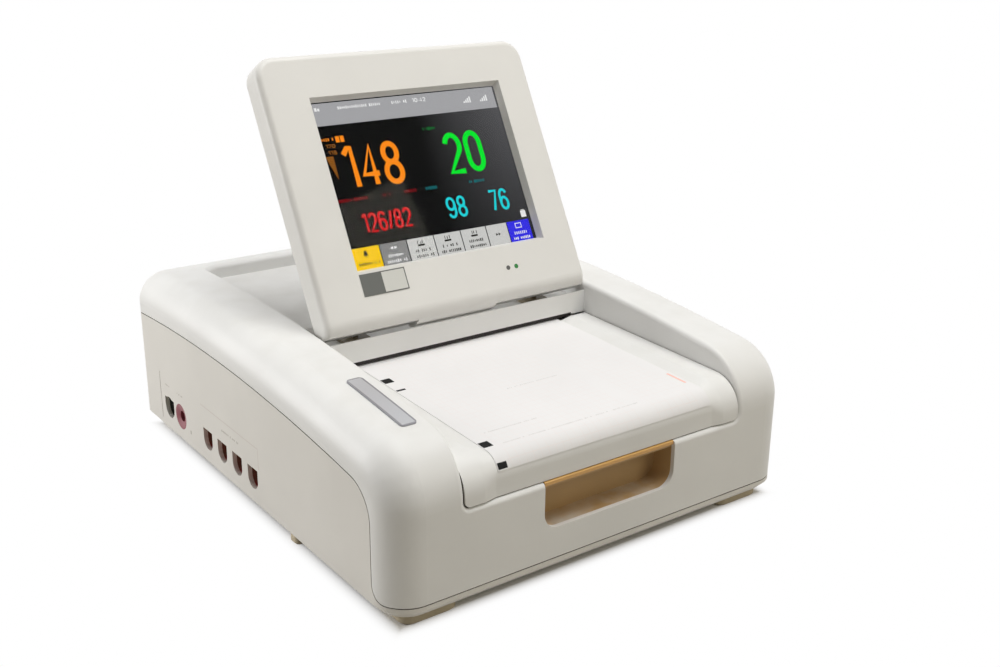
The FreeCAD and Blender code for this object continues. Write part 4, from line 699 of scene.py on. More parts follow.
def socket_plastic():
    """Crimson socket bodies whose front-facing walls are coloured brown as painted shade."""
    look = shell()
    material, tree, surface = new_material("crimson_plastic")
    grain = placed(tree, moulded_grain, Grain_Size=SOCKET_GRAIN, Mottle_Size=SOCKET_CLOUD)
    # Painted shade: faces that look to the front are brown
    to_front = spread(tree, facing(tree, "Y"), -0.2, -0.8)
    crimson = linear(look.crimson)
    tint = blend(tree, to_front, crimson, linear(look.socket_wall_shade))
    tint = blend(tree, calc(tree, "MULTIPLY", grain["Tone"], 0.35), tint, toned(crimson, 0.6))
    feed(tree, surface, Base_Color=tint, Roughness=spread(tree, grain["Tone"], *WHOLE, 0.42, 0.55))
    rough(tree, surface, grain["Height"], SOCKET_RELIEF)
    return material


def coated_board():
    """Green coated board with fine tracks."""
    look = fitting()
    material, tree, surface = new_material("board_green")
    sway = calc(tree, "MULTIPLY", noise(tree, BOARD_BENDS), TRACK_SWAY)
    bent = calc(tree, "ADD", apart(tree, own_place(tree))["X"], sway)
    tracks = placed(tree, ruled_lines, Position=bent, Pitch=TRACK_PITCH, Width=TRACK_WIDTH)["Mask"]
    feed(tree, surface, Base_Color=blend(tree, tracks, linear(look.board), linear(look.track)),
         Roughness=spread(tree, noise(tree, BOARD_CLOUDS), *MIDDLE, 0.3, 0.45))
    rough(tree, surface, tracks, TRACK_HEIGHT)
    return material


def chart_paper(name, ruled):
    """Thermal chart paper with fibres and, on the table, two faintly ruled fields."""
    sizes = chart()
    material, tree, surface = new_material(name)
    parts = apart(tree, own_place(tree))
    fibres = noise(tree, FIBRES, 3.0)
    sheet = linear(sizes.sheet)
    tint = blend(tree, spread(tree, noise(tree, PAPER_CLOUDS, 4.0), *MIDDLE), sheet, toned(sheet, 0.975))
    if ruled:
        rules = [placed(tree, ruled_lines, Position=parts[axis], Pitch=sizes.rule_pitch,
                        Width=sizes.rule_width)["Mask"] for axis in "XY"]
        fields = ((PAPER_LOW.x + sizes.margin, sizes.left_field),
                  (sizes.right_field, PAPER_HIGH.x - sizes.margin))
        inside = [calc(tree, "MULTIPLY", calc(tree, "GREATER_THAN", parts["X"], low),
                       calc(tree, "LESS_THAN", parts["X"], high)) for low, high in fields]
        ruling = calc(tree, "MULTIPLY", calc(tree, "MAXIMUM", *rules), calc(tree, "ADD", *inside))
        patches = spread(tree, noise(tree, RULE_PATCHES), *MIDDLE, 0.45, 0.9)
        tint = blend(tree, calc(tree, "MULTIPLY", ruling, patches), tint, linear(sizes.rule))
    else:
        # Painted shade: darker lines between the stacked leaves
        leaf_gap_shade = placed(tree, ruled_lines, Position=parts["Z"], Pitch=LEAF_PITCH, Width=LEAF_GAP)["Mask"]
        tint = blend(tree, calc(tree, "MULTIPLY", leaf_gap_shade, 0.35), tint, toned(sheet, 0.6))
    feed(tree, surface, Base_Color=tint, Roughness=spread(tree, fibres, *MIDDLE, 0.5, 0.62),
         Specular_IOR_Level=0.3)
    rough(tree, surface, fibres, FIBRE_RELIEF, 0.25)
    return material


def front_print():
    """Printed plate with a dark half and an outlined pale half."""
    look = fitting()
    material, tree, surface = new_material("plate_grey")
    pale_low = Vector(((PLATE_LOW.x + PLATE_HIGH.x) / 2 - PALE_OVERLAP, PLATE_LOW.y))
    inside = room_inside(tree, display_parts(tree), pale_low, PLATE_HIGH)
    pale = spread(tree, inside, 0.9 * PLATE_OUTLINE, 1.1 * PLATE_OUTLINE)
    specks = noise(tree, PLATE_SPECKS)
    dark = linear(look.plate_dark)
    speckled = blend(tree, specks, dark, toned(dark, 0.85))
    feed(tree, surface, Base_Color=blend(tree, pale, speckled, linear(look.plate_pale)),
         Roughness=spread(tree, specks, *MIDDLE, 0.38, 0.5))
    rough(tree, surface, specks, PRINT_RELIEF, 0.3)
    return material


def lens(name, base, glow_and_painted_sheen):
    """Small coloured lens, lit or unlit."""
    material, tree, surface = new_material(name)
    facets = add(tree, "ShaderNodeTexVoronoi", {"Vector": own_place(tree), "Scale": LENS_FACETS})
    facets = facets.outputs["Distance"]
    plain = linear(base)
    tint = blend(tree, facets, plain, toned(plain, 0.7))
    feed(tree, surface, Base_Color=tint, Emission_Color=tint, Emission_Strength=glow_and_painted_sheen,
         Roughness=spread(tree, facets, *WHOLE, 0.1, 0.2))
    return material


def clear_glass():
    """Touch glass with the faintest smears."""
    material, tree, surface = new_material("clear_glass")
    smears = spread(tree, noise(tree, GLASS_SMEARS, 5.0), 0.45, 0.8, 0.015, 0.07)
    tint = blend(tree, noise(tree, GLASS_CLOUDS), (0.97, 0.97, 0.97, 1.0), (0.94, 0.95, 0.95, 1.0))
    feed(tree, surface, Base_Color=tint, Roughness=smears, Transmission_Weight=1.0, IOR=1.15)
    return material


def dots(tree, tint):
    """A picture colour broken into the screen's dots, and the display's own coordinates."""
    parts = display_parts(tree)
    pitch = picture().raster
    gaps = [placed(tree, ruled_lines, Position=parts[axis], Pitch=pitch, Width=0.2 * pitch)["Mask"]
            for axis in "XY"]
    gap = calc(tree, "MULTIPLY", calc(tree, "MAXIMUM", *gaps), 0.35)
    return blend(tree, gap, tint, BLACK), parts


def lit(name, base):
    """One lit colour of the picture."""
    material, tree, surface = new_material("picture_" + name)
    feed(tree, surface, Base_Color=BLACK, Emission_Color=dots(tree, linear(base))[0], Emission_Strength=1.1,
         Roughness=spread(tree, noise(tree, SCREEN_SPECKS), *MIDDLE, 0.35, 0.45), Specular_IOR_Level=0.0)
    return material


def unlit():
    """Dark screen with a painted reflection: a pale sheen that grows towards its upper right."""
    sizes = picture()
    material, tree, surface = new_material("picture_ground")
    tint, parts = dots(tree, linear(sizes.sheen))
    start = sizes.left + sizes.sheen_start * (sizes.right - sizes.left)
    # Painted reflection: the sheen rises towards the right and the top
    glow_and_painted_sheen = calc(tree, "MULTIPLY", spread(tree, parts["X"], start, sizes.right),
                spread(tree, parts["Y"], sizes.low, sizes.high, 0.25, 1.0))
    feed(tree, surface, Base_Color=(0.002, 0.002, 0.002, 1.0), Emission_Strength=1.0,
         Emission_Color=blend(tree, glow_and_painted_sheen, linear(sizes.black), tint), Specular_IOR_Level=0.0,
         Roughness=spread(tree, noise(tree, SCREEN_SPECKS), *MIDDLE, 0.35, 0.45))
    return material


def ink(name, base):
    """Dry printed ink."""
    material, tree, surface = new_material("ink_" + name)
    specks = noise(tree, INK_SPECKS, 3.0)
    plain = linear(base)
    paler = (*(min(1.0, part * 1.15 + 0.01) for part in plain[:3]), 1.0)
    feed(tree, surface, Base_Color=blend(tree, specks, plain, paler), Specular_IOR_Level=0.12,
         Roughness=spread(tree, specks, *MIDDLE, 0.5, 0.65))
    rough(tree, surface, specks, PRINT_RELIEF, 0.2)
    return material


def dress(material, *nodes):
    """Gives CAD nodes a finish."""
    for node in nodes:
        slots = NODES[node].data.materials
        if len(slots) == 0:
            slots.append(material)
        for index in range(len(slots)):
            slots[index] = material


# Meshes

def new_piece(name, mesh, body, material=None):
    """A finished piece that rides on a body."""
    if len(mesh.polygons) == 0:
        raise RuntimeError(name + " has no faces")
    mesh.name = name
    piece = bpy.data.objects.new(name, mesh)
    bpy.context.scene.collection.objects.link(piece)
    if material:
        mesh.materials.clear()
        mesh.materials.append(material)
    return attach(piece, body)


def add_slab(bm, left, right, low, high, back, front):
    """A flat slab between six planes."""
    size = Matrix.Diagonal((right - left, high - low, front - back, 1.0))
    middle = Matrix.Translation(((left + right) / 2, (low + high) / 2, (back + front) / 2))
    bmesh.ops.create_cube(bm, size=1.0, matrix=middle @ size)


def add_outline(bm, points, back, front):
    """A flat piece with a straight-sided outline, given anticlockwise."""
    lower = [bm.verts.new((x, y, back)) for x, y in points]
    upper = [bm.verts.new((x, y, front)) for x, y in points]
    bm.faces.new(reversed(lower))
    bm.faces.new(upper)
    for index in range(len(points)):
        after = (index + 1) % len(points)
        bm.faces.new((lower[index], lower[after], upper[after], upper[index]))


def bow(x, y, half_width, half_height, start, end):
    """Points along part of an oval, from one angle to another."""
    steps = max(2, round(abs(end - start) / BOW_STEP))
    angles = [math.radians(start + (end - start) * step / steps) for step in range(steps + 1)]
    return [(x + half_width * math.cos(angle), y + half_height * math.sin(angle)) for angle in angles]


def figure_strokes():
    """The strokes of each figure in a box one wide and one high, and how wide the box is drawn."""
    six = bow(0.5, 0.68, 0.5, 0.32, 25, 180) + bow(0.5, 0.30, 0.5, 0.30, 180, 540)
    return {
        "0": (1.0, [bow(0.5, 0.70, 0.5, 0.30, 0, 180) + bow(0.5, 0.30, 0.5, 0.30, 180, 360)
                    + [(1.0, 0.70)]]),
        "1": (0.5, [[(0.0, 0.84), (0.6, 1.0), (1.0, 1.0), (1.0, 0.0)]]),
        "2": (1.0, [bow(0.5, 0.71, 0.5, 0.29, 165, -28) + [(0.0, 0.0), (1.0, 0.0)]]),
        "3": (1.0, [bow(0.5, 0.755, 0.46, 0.245, 150, -90), bow(0.5, 0.255, 0.5, 0.255, 90, -155)]),
        "4": (1.0, [[(0.72, 0.0), (0.72, 1.0), (0.0, 0.28), (1.0, 0.28)]]),
        "5": (1.0, [[(0.92, 1.0), (0.14, 1.0), (0.06, 0.50)] + bow(0.48, 0.31, 0.52, 0.31, 125, -155)]),
        "6": (1.0, [six]),
        "7": (1.0, [[(0.0, 1.0), (1.0, 1.0), (0.32, 0.0)]]),
        "8": (1.0, [bow(0.5, 0.76, 0.44, 0.24, -90, 270), bow(0.5, 0.26, 0.5, 0.26, 90, 450)]),
        "9": (1.0, [[(1.0 - x, 1.0 - y) for x, y in six]]),
        "/": (0.55, [[(0.0, 0.0), (1.0, 1.0)]]),
        ":": (0.2, [[(0.5, 0.68), (0.5, 0.78)], [(0.5, 0.22), (0.5, 0.32)]]),
    }


def new_holder(data):
    """An object that only holds what a mesh is made from."""
    holder = bpy.data.objects.new("holder", data)
    bpy.context.scene.collection.objects.link(holder)
    return holder


def plain_mesh(holder):
    """The plain mesh of a holder, which is then removed."""
    graph = bpy.context.evaluated_depsgraph_get()
    mesh = bpy.data.meshes.new_from_object(holder.evaluated_get(graph))
    bpy.data.objects.remove(holder)
    return mesh


def add_figures(bm, words, left, right, low, high, back, front, stroke):
    """Figures drawn as strokes that fill a box."""
    curve = bpy.data.curves.new("figures", "CURVE")
    curve.dimensions = "3D"
    curve.bevel_depth = stroke / 2
    curve.bevel_resolution = 1
    curve.use_fill_caps = True
    table = figure_strokes()
    between = 0.5
    units = sum(table[figure][0] for figure in words) + between * (len(words) - 1)
    unit = (right - left - stroke) / units
    start = left + stroke / 2
    for figure in words:
        wide, strokes = table[figure]
        for points in strokes:
            line = curve.splines.new("POLY")
            line.points.add(len(points) - 1)
            for point, (x, y) in zip(line.points, points):
                rise = stroke / 2 + y * (high - low - stroke)
                point.co = (start + x * wide * unit, low + rise, 0.0, 1.0)
        start += (wide + between) * unit
    mesh = plain_mesh(new_holder(curve))
    bpy.data.curves.remove(curve)
    for vertex in mesh.vertices:
        vertex.co.z = (back + front) / 2 + vertex.co.z / stroke * (front - back)
    bm.from_mesh(mesh)
    bpy.data.meshes.remove(mesh)


def closed_mesh(bm, name, place=None):
    """The finished mesh of a drawing, with its doubles merged and its faces outwards."""
    bmesh.ops.remove_doubles(bm, verts=bm.verts[:], dist=DRAWN_WELD)
    bmesh.ops.recalc_face_normals(bm, faces=bm.faces[:])
    mesh = bpy.data.meshes.new(name)
    bm.to_mesh(mesh)
    bm.free()
    if place:
        mesh.transform(place)
    return mesh


def points_mesh(points):
    mesh = bpy.data.meshes.new("points")
    mesh.from_pydata(points, [], [])
    return mesh


def rows_mesh(rows):
    """Straight rows, each an edge from its left end to its right end."""
    mesh = bpy.data.meshes.new("rows")
    points = [(x, y, z) for left, right, y, z in rows for x in (left, right)]
    mesh.from_pydata(points, [(2 * index, 2 * index + 1) for index in range(len(rows))], [])
    return mesh


def grown(mesh, tree, place=None, **inputs):
    """The plain mesh that a geometry tree makes of a mesh."""
    holder = new_holder(mesh)
    modifier = holder.modifiers.new("grow", "NODES")
    modifier.node_group = tree
    named = {item.name.replace(" ", "_"): item.identifier for item in tree.interface.items_tree
             if item.item_type == "SOCKET" and item.in_out == "INPUT"}
    for name, value in inputs.items():
        modifier[named[name]] = value
    result = plain_mesh(holder)
    bpy.data.meshes.remove(mesh)
    if place:
        result.transform(place)
    return result


def solids(node, place):
    """The box of each separate solid of a CAD node, in a frame of its own."""
    bm = bmesh.new()
    bm.from_mesh(NODES[node].data)
    bmesh.ops.remove_doubles(bm, verts=bm.verts[:], dist=CAD_WELD)
    inverse = place.inverted()
    waiting = set(bm.verts)
    boxes = []
    while waiting:
        front = [waiting.pop()]
        points = []
        while front:
            vertex = front.pop()
            points.append(inverse @ vertex.co)
            beyond = [edge.other_vert(vertex) for edge in vertex.link_edges]
            beyond = [other for other in beyond if other in waiting]
            waiting.difference_update(beyond)
            front.extend(beyond)
        boxes.append(corners(points))
    bm.free()
    return sorted(boxes, key=lambda box: tuple(round(value, 5) for value in box[0]))


def faces_of(node):
    """A CAD node's faces, ready to be met by lines."""
    source = NODES[node].data
    return BVHTree.FromPolygons([vertex.co for vertex in source.vertices],
                                [tuple(face.vertices) for face in source.polygons])


def out_of(place):
    """The direction out of a frame's face."""
    return (place.to_3x3() @ Vector((0, 0, 1))).normalized()


def meet(faces, place, x, y):
    """Where a line along a frame's own depth meets some faces, and how the face looks there."""
    hit, normal = faces.ray_cast(place @ Vector((x, y, LOOK_FROM)), -out_of(place))[:2]
    if hit is None:
        raise RuntimeError("a printed mark misses its face")
    return hit, normal


def printed(bm, node, place, left, right, low, high, most=PRINT_STEP):
    """A printed patch that lies on a CAD node's face, in steps of at most a given length."""
    faces = faces_of(node)
    thick = out_of(place) * INK_THICKNESS
    columns = max(1, math.ceil((right - left) / most))
    rows = max(1, math.ceil((high - low) / most))
    under = {}
    over = {}
    for column in range(columns + 1):
        for row in range(rows + 1):
            x = left + (right - left) * column / columns
            hit = meet(faces, place, x, low + (high - low) * row / rows)[0]
            under[column, row] = bm.verts.new(hit - thick / 2)
            over[column, row] = bm.verts.new(hit + thick)
    for column in range(columns):
        for row in range(rows):
            ring = [(column, row), (column + 1, row), (column + 1, row + 1), (column, row + 1)]
            bm.faces.new([over[key] for key in ring])
            bm.faces.new([under[key] for key in reversed(ring)])
    rim = [(column, 0) for column in range(columns)] + [(columns, row) for row in range(rows)]
    rim += [(column, rows) for column in range(columns, 0, -1)] + [(0, row) for row in range(rows, 0, -1)]
    for index, key in enumerate(rim):
        after = rim[(index + 1) % len(rim)]
        bm.faces.new((under[key], under[after], over[after], over[key]))


def face_frame(node, place, x, y):
    """A frame on a CAD node's face, at a point that is looked at along the frame's own depth."""
    hit, normal = meet(faces_of(node), place, x, y)
    across = place.to_3x3() @ Vector((1, 0, 0))
    turn = Matrix((across, normal.cross(across).normalized(), normal)).transposed().to_4x4()
    return Matrix.Translation(hit) @ turn


def add_ring(bm, outer, inner, back, front, segments=24):
    """A flat ring."""
    section = ((outer, back), (outer, front), (inner, front), (inner, back))
    rings = []
    for segment in range(segments):
        angle = 2 * math.pi * segment / segments
        across, up = math.cos(angle), math.sin(angle)
        rings.append([bm.verts.new((across * radius, up * radius, depth)) for radius, depth in section])
    for segment, ring in enumerate(rings):
        after = rings[(segment + 1) % segments]
        for corner in range(4):
            beside = (corner + 1) % 4
            bm.faces.new((ring[corner], after[corner], after[beside], ring[beside]))


# Geometry trees of what repeats

def finish_tree(tree, given, end, instances):
    """Makes instances real, gives them the chosen material and sends them out."""
    whole = add(tree, "GeometryNodeRealizeInstances", {"Geometry": instances}).outputs[0]
    coloured = add(tree, "GeometryNodeSetMaterial", {"Geometry": whole, "Material": given["Material"]})
    feed(tree, end, Mesh=coloured.outputs[0])
    return tree


def instanced(tree, points, instance, **inputs):
    """A shape at each point."""
    inputs.update(Points=points, Instance=instance)
    return add(tree, "GeometryNodeInstanceOnPoints", inputs).outputs[0]


def vector(tree, **parts):
    """A vector from some of its parts."""
    return add(tree, "ShaderNodeCombineXYZ", parts).outputs[0]


def unit_cube(tree):
    return add(tree, "GeometryNodeMeshCube", {"Size": (1.0, 1.0, 1.0)}).outputs["Mesh"]


def moved(tree, shape, way):
    """A shape moved by a vector."""
    return add(tree, "GeometryNodeTransform", {"Geometry": shape, "Translation": way}).outputs[0]


def random_between(tree, low, high, seed):
    """A random number for each point."""
    return add(tree, "FunctionNodeRandomValue", {2: low, 3: high, "Seed": seed}).outputs[1]


def caption_strokes():
    """Short strokes of uneven width along each row, as in a caption too small to read."""
    tree, given, end = geometry_tree("Caption strokes", "Rows", Pitch=0.001, Height=0.001, Depth=0.0001,
                                     Blank=0.14, Seed=1)
    line = add(tree, "GeometryNodeMeshToCurve", {"Mesh": given["Rows"]}).outputs[0]
    points = add(tree, "GeometryNodeCurveToPoints", {"Curve": line, "Length": given["Pitch"]}, mode="LENGTH")
    blank = add(tree, "FunctionNodeRandomValue", {"Probability": given["Blank"], "Seed": given["Seed"]},
                data_type="BOOLEAN").outputs[3]
    kept = add(tree, "GeometryNodeDeleteGeometry", {"Geometry": points.outputs[0], "Selection": blank})
    wide = random_between(tree, *STROKE_WIDTHS, given["Seed"])
    tall = random_between(tree, *STROKE_HEIGHTS, calc(tree, "ADD", given["Seed"], 7))
    size = vector(tree, X=calc(tree, "MULTIPLY", wide, given["Pitch"]),
                  Y=calc(tree, "MULTIPLY", tall, given["Height"]), Z=given["Depth"])
    return finish_tree(tree, given, end, instanced(tree, kept.outputs[0], unit_cube(tree), Scale=size))


def stepped_bars():
    """Bars at an even pitch whose length runs from a first to a last value."""
    tree, given, end = geometry_tree("Stepped bars", "Places", Count=4, Step=(0.001, 0.0, 0.0),
                                     First=(0.001, 0.001, 0.001), Last=(0.001, 0.004, 0.001),
                                     Rise=(0.0, 0.0, 0.0))
    row = add(tree, "GeometryNodeMeshLine", {"Count": given["Count"], "Offset": given["Step"]}, mode="OFFSET")
    last = calc(tree, "SUBTRACT", given["Count"], 1.0)
    part = calc(tree, "DIVIDE", add(tree, "GeometryNodeInputIndex").outputs[0], last)
    size = add(tree, "ShaderNodeMix", {0: part, 4: given["First"], 5: given["Last"]}, data_type="VECTOR")
    size = size.outputs[1]
    lift = add(tree, "ShaderNodeVectorMath", {0: size, 1: given["Rise"]}, operation="MULTIPLY").outputs[0]
    raised = add(tree, "GeometryNodeSetPosition", {"Geometry": row.outputs[0], "Offset": lift}).outputs[0]
    bars = instanced(tree, raised, unit_cube(tree), Scale=size)
    return finish_tree(tree, given, end, instanced(tree, given["Places"], bars))


def contact_pins():
    """A block of round contacts at each place."""
    tree, given, end = geometry_tree("Contact pins", "Places", Columns=3, Rows=2, Pitch=0.003,
                                     Radius=0.0005, Length=0.004)
    wide, tall = (calc(tree, "MULTIPLY", calc(tree, "SUBTRACT", given[name], 1.0), given["Pitch"])
                  for name in ("Columns", "Rows"))
    block = add(tree, "GeometryNodeMeshGrid", {"Size X": wide, "Size Y": tall, "Vertices X": given["Columns"],
                                               "Vertices Y": given["Rows"]}).outputs["Mesh"]
    radius = given["Radius"]
    length = given["Length"]
    shank = add(tree, "GeometryNodeMeshCylinder", {"Vertices": 12, "Radius": radius, "Depth": length})
    tip = add(tree, "GeometryNodeMeshCone", {"Vertices": 12, "Radius Bottom": radius, "Depth": radius,
                                             "Radius Top": calc(tree, "MULTIPLY", radius, 0.5)})
    half = vector(tree, Z=calc(tree, "DIVIDE", length, 2.0))
    pin = add(tree, "GeometryNodeJoinGeometry")
    tree.links.new(moved(tree, shank.outputs["Mesh"], half), pin.inputs[0])
    tree.links.new(moved(tree, tip.outputs["Mesh"], vector(tree, Z=length)), pin.inputs[0])
    pins = instanced(tree, block, pin.outputs[0])
    return finish_tree(tree, given, end, instanced(tree, given["Places"], pins))


def cross_heads():
    """A screw head with a cross recess at each place."""
    tree, given, end = geometry_tree("Cross heads", "Places", Radius=0.003, Height=0.0006)
    height = given["Height"]
    disc = add(tree, "GeometryNodeMeshCylinder", {"Vertices": 32, "Radius": given["Radius"], "Depth": height})
    cut = disc.outputs["Mesh"]
    long, thin = (calc(tree, "MULTIPLY", given["Radius"], part) for part in (1.15, 0.26))
    up = vector(tree, Z=calc(tree, "MULTIPLY", height, 0.35))
    for x, y in ((long, thin), (thin, long)):
        arm = add(tree, "GeometryNodeMeshCube", {"Size": vector(tree, X=x, Y=y, Z=height)}).outputs["Mesh"]
        recess = add(tree, "GeometryNodeMeshBoolean", {0: cut}, operation="DIFFERENCE")
        tree.links.new(moved(tree, arm, up), recess.inputs[1])
        cut = recess.outputs[0]
    return finish_tree(tree, given, end, instanced(tree, given["Places"], cut))


# Operators

class MONITOR_OT_shells(bpy.types.Operator):
    """Finishes of the ivory shells, the table and the other moulded pieces"""
    bl_idname = "monitor.shells"
    bl_label = "Moulded shells"

    def execute(self, context):
        look = shell()
        dress(moulded("ivory_shell", look.lower_shell, 0.44, seam_shaded=True), "bottom_housing")
        dress(moulded("ivory_cover", look.cover, 0.42, seam_shaded=True), "top_cover", "well_plate", "paper_table")
        dress(moulded("display_shell", look.display_shell, 0.40, dust_and_top_light=0.1), "display_bezel", "display_back")
        # Painted shade and light: the tan stands in for shade and warm reflection, and the thick dust
        # lightens the pocket's floor
        dress(moulded("tan_plastic", look.pocket_shade, 0.5, dust_and_top_light=0.85, mottle=0.12), "finger_pocket")
        dress(moulded("amber_plastic", look.release, 0.32, dust_and_top_light=0.1, mottle=0.1, coat=0.2), "release_bar")
        dress(moulded("rose_plastic", look.rose, 0.45, dust_and_top_light=0.1, mottle=0.15, grain=0.6), "pressure_port")
        dress(moulded("dark_plastic", look.dark, 0.48, dust_and_top_light=0.15, mottle=0.2, grain=0.8), "loudspeaker",
              "air_pump", "pulse_socket", "mains_inlet", "rocker_frame", "power_rocker")
        # Painted shade: the near black guide makes the paper slot look shadowed
        dress(moulded("guide_plastic", look.guide, 0.6, dust_and_top_light=0.05, mottle=0.2), "paper_guide")
        dress(moulded("tub_plastic", look.tub, 0.5, mottle=0.08), "paper_well")
        dress(moulded("gear_plastic", look.gear, 0.35, dust_and_top_light=0.1, grain=0.5), "roller_bushes", "roller_gear")
        dress(socket_plastic(), "probe_sockets")
        return {"FINISHED"}


class MONITOR_OT_rubber(bpy.types.Operator):
    """Finishes of the feet, the platen sleeve and the hose"""
    bl_idname = "monitor.rubber"
    bl_label = "Rubber pieces"

    def execute(self, context):
        look = fitting()
        dress(rubber("taupe_rubber", look.foot, 0.75), "rubber_feet")
        dress(rubber("roller_rubber", look.roller, 0.6, dust_and_top_light=0.2), "platen_sleeve")
        dress(rubber("hose_rubber", look.hose, 0.5, dust_and_top_light=0.2), "air_hose")
        return {"FINISHED"}


class MONITOR_OT_metal(bpy.types.Operator):
    """Finishes of the metal pieces, the boards and the print head"""
    bl_idname = "monitor.metal"
    bl_label = "Metal pieces and boards"

    def execute(self, context):
        look = fitting()
        dress(metal("steel", look.steel, 0.3), "housing_screws", "release_springs", "head_springs",
              "feed_motor", "display_screws", "table_pins", "roller_shaft", "motor_shaft")
        # Painted shade: the olive tan of the hinge parts stands in for the shadow in the notches
        dress(moulded("hinge_paint", look.hinge, 0.5, dust_and_top_light=0.1, mottle=0.1, grain=0.7), "hinge_brackets",
              "hinge_washers", "hinge_pins")
        dress(metal("sheet_steel", look.sheet_steel, 0.42, line_width=2 * METAL_LINE), "rear_panel",
              "print_frame", "motor_plate", "slot_covers", "screen_bracket")
        dress(metal("alloy", look.alloy, 0.36), "head_sink")
        dress(metal("supply_case", look.case, 0.4, line_width=2.5 * METAL_LINE), "power_supply")
        dress(metal("brass", look.brass, 0.28, tarnish=0.25), "mount_inserts", "mains_pins", "ground_stud",
              "motor_pinion")
        dress(badge_metal(), "badge_plate")
        dress(coated_board(), "main_board", "socket_board", "display_board")
        dress(moulded("ceramic_head", look.ceramic, 0.25, dust_and_top_light=0.0, grain=0.3, coat=0.3), "print_head")
        return {"FINISHED"}


class MONITOR_OT_springs(bpy.types.Operator):
    """The release bar's return springs, put on the body as a piece with a mesh of its own"""
    bl_idname = "monitor.springs"
    bl_label = "Return springs"

    def execute(self, context):
        mesh = NODES["release_springs"].data.copy()
        springs = new_piece("return_springs", mesh, "body", bpy.data.materials["steel"])
        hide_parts("release_springs")
        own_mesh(springs)
        return {"FINISHED"}


class MONITOR_OT_paper(bpy.types.Operator):
    """Chart paper, its pack and its web, with the ruling and the fold marks"""
    bl_idname = "monitor.paper"
    bl_label = "Chart paper"

    # Longest steps of the marks' and the dashes' print
    mark_step = 2.0 * MM
    dash_step = 0.3 * MM

    # Left end, right end and place along the paper of each row of small print, in millimetres
    rows = ((-67.0, -31.0, -137.0), (-64.0, 30.0, -152.0), (-20.0, 16.0, -96.0))

    def execute(self, context):
        sizes = chart()
        dress(chart_paper("paper_ruled", True), "chart_paper")
        dress(chart_paper("paper", False), "paper_pack", "paper_web")
        bm = bmesh.new()
        left = PAPER_LOW.x + sizes.mark_in
        for fold in range(2):
            rear = sizes.mark_y - fold * sizes.mark_run
            front = rear - sizes.mark_side
            printed(bm, "chart_paper", LEVEL, left, left + sizes.mark_side, front, rear, self.mark_step)
            dash = front - sizes.dash_after
            printed(bm, "chart_paper", LEVEL, left, left + sizes.dash_length, dash - sizes.dash_width, dash,
                    self.dash_step)
        new_piece("fold_marks", closed_mesh(bm, "fold_marks"), "table",
                  ink("fold_mark", sizes.mark))
        bm = bmesh.new()
        edge = PAPER_HIGH.x - sizes.edge_in
        printed(bm, "chart_paper", LEVEL, edge, edge + sizes.edge_width, sizes.edge_front, sizes.edge_rear)
        new_piece("edge_line", closed_mesh(bm, "edge_line"), "table",
                  ink("edge_line", sizes.edge_ink))
        rows = []
        for start, stop, y in self.rows:
            height = face_frame("chart_paper", LEVEL, start * MM, y * MM).translation.z
            rows.append((start * MM, stop * MM, y * MM, height + INK_THICKNESS / 2))
        mesh = grown(rows_mesh(rows), caption_strokes(), Pitch=sizes.jotting_pitch,
                     Height=sizes.jotting_height, Depth=INK_THICKNESS, Seed=11,
                     Material=ink("jotting", sizes.jotting))
        new_piece("chart_rows", mesh, "table")
        return {"FINISHED"}


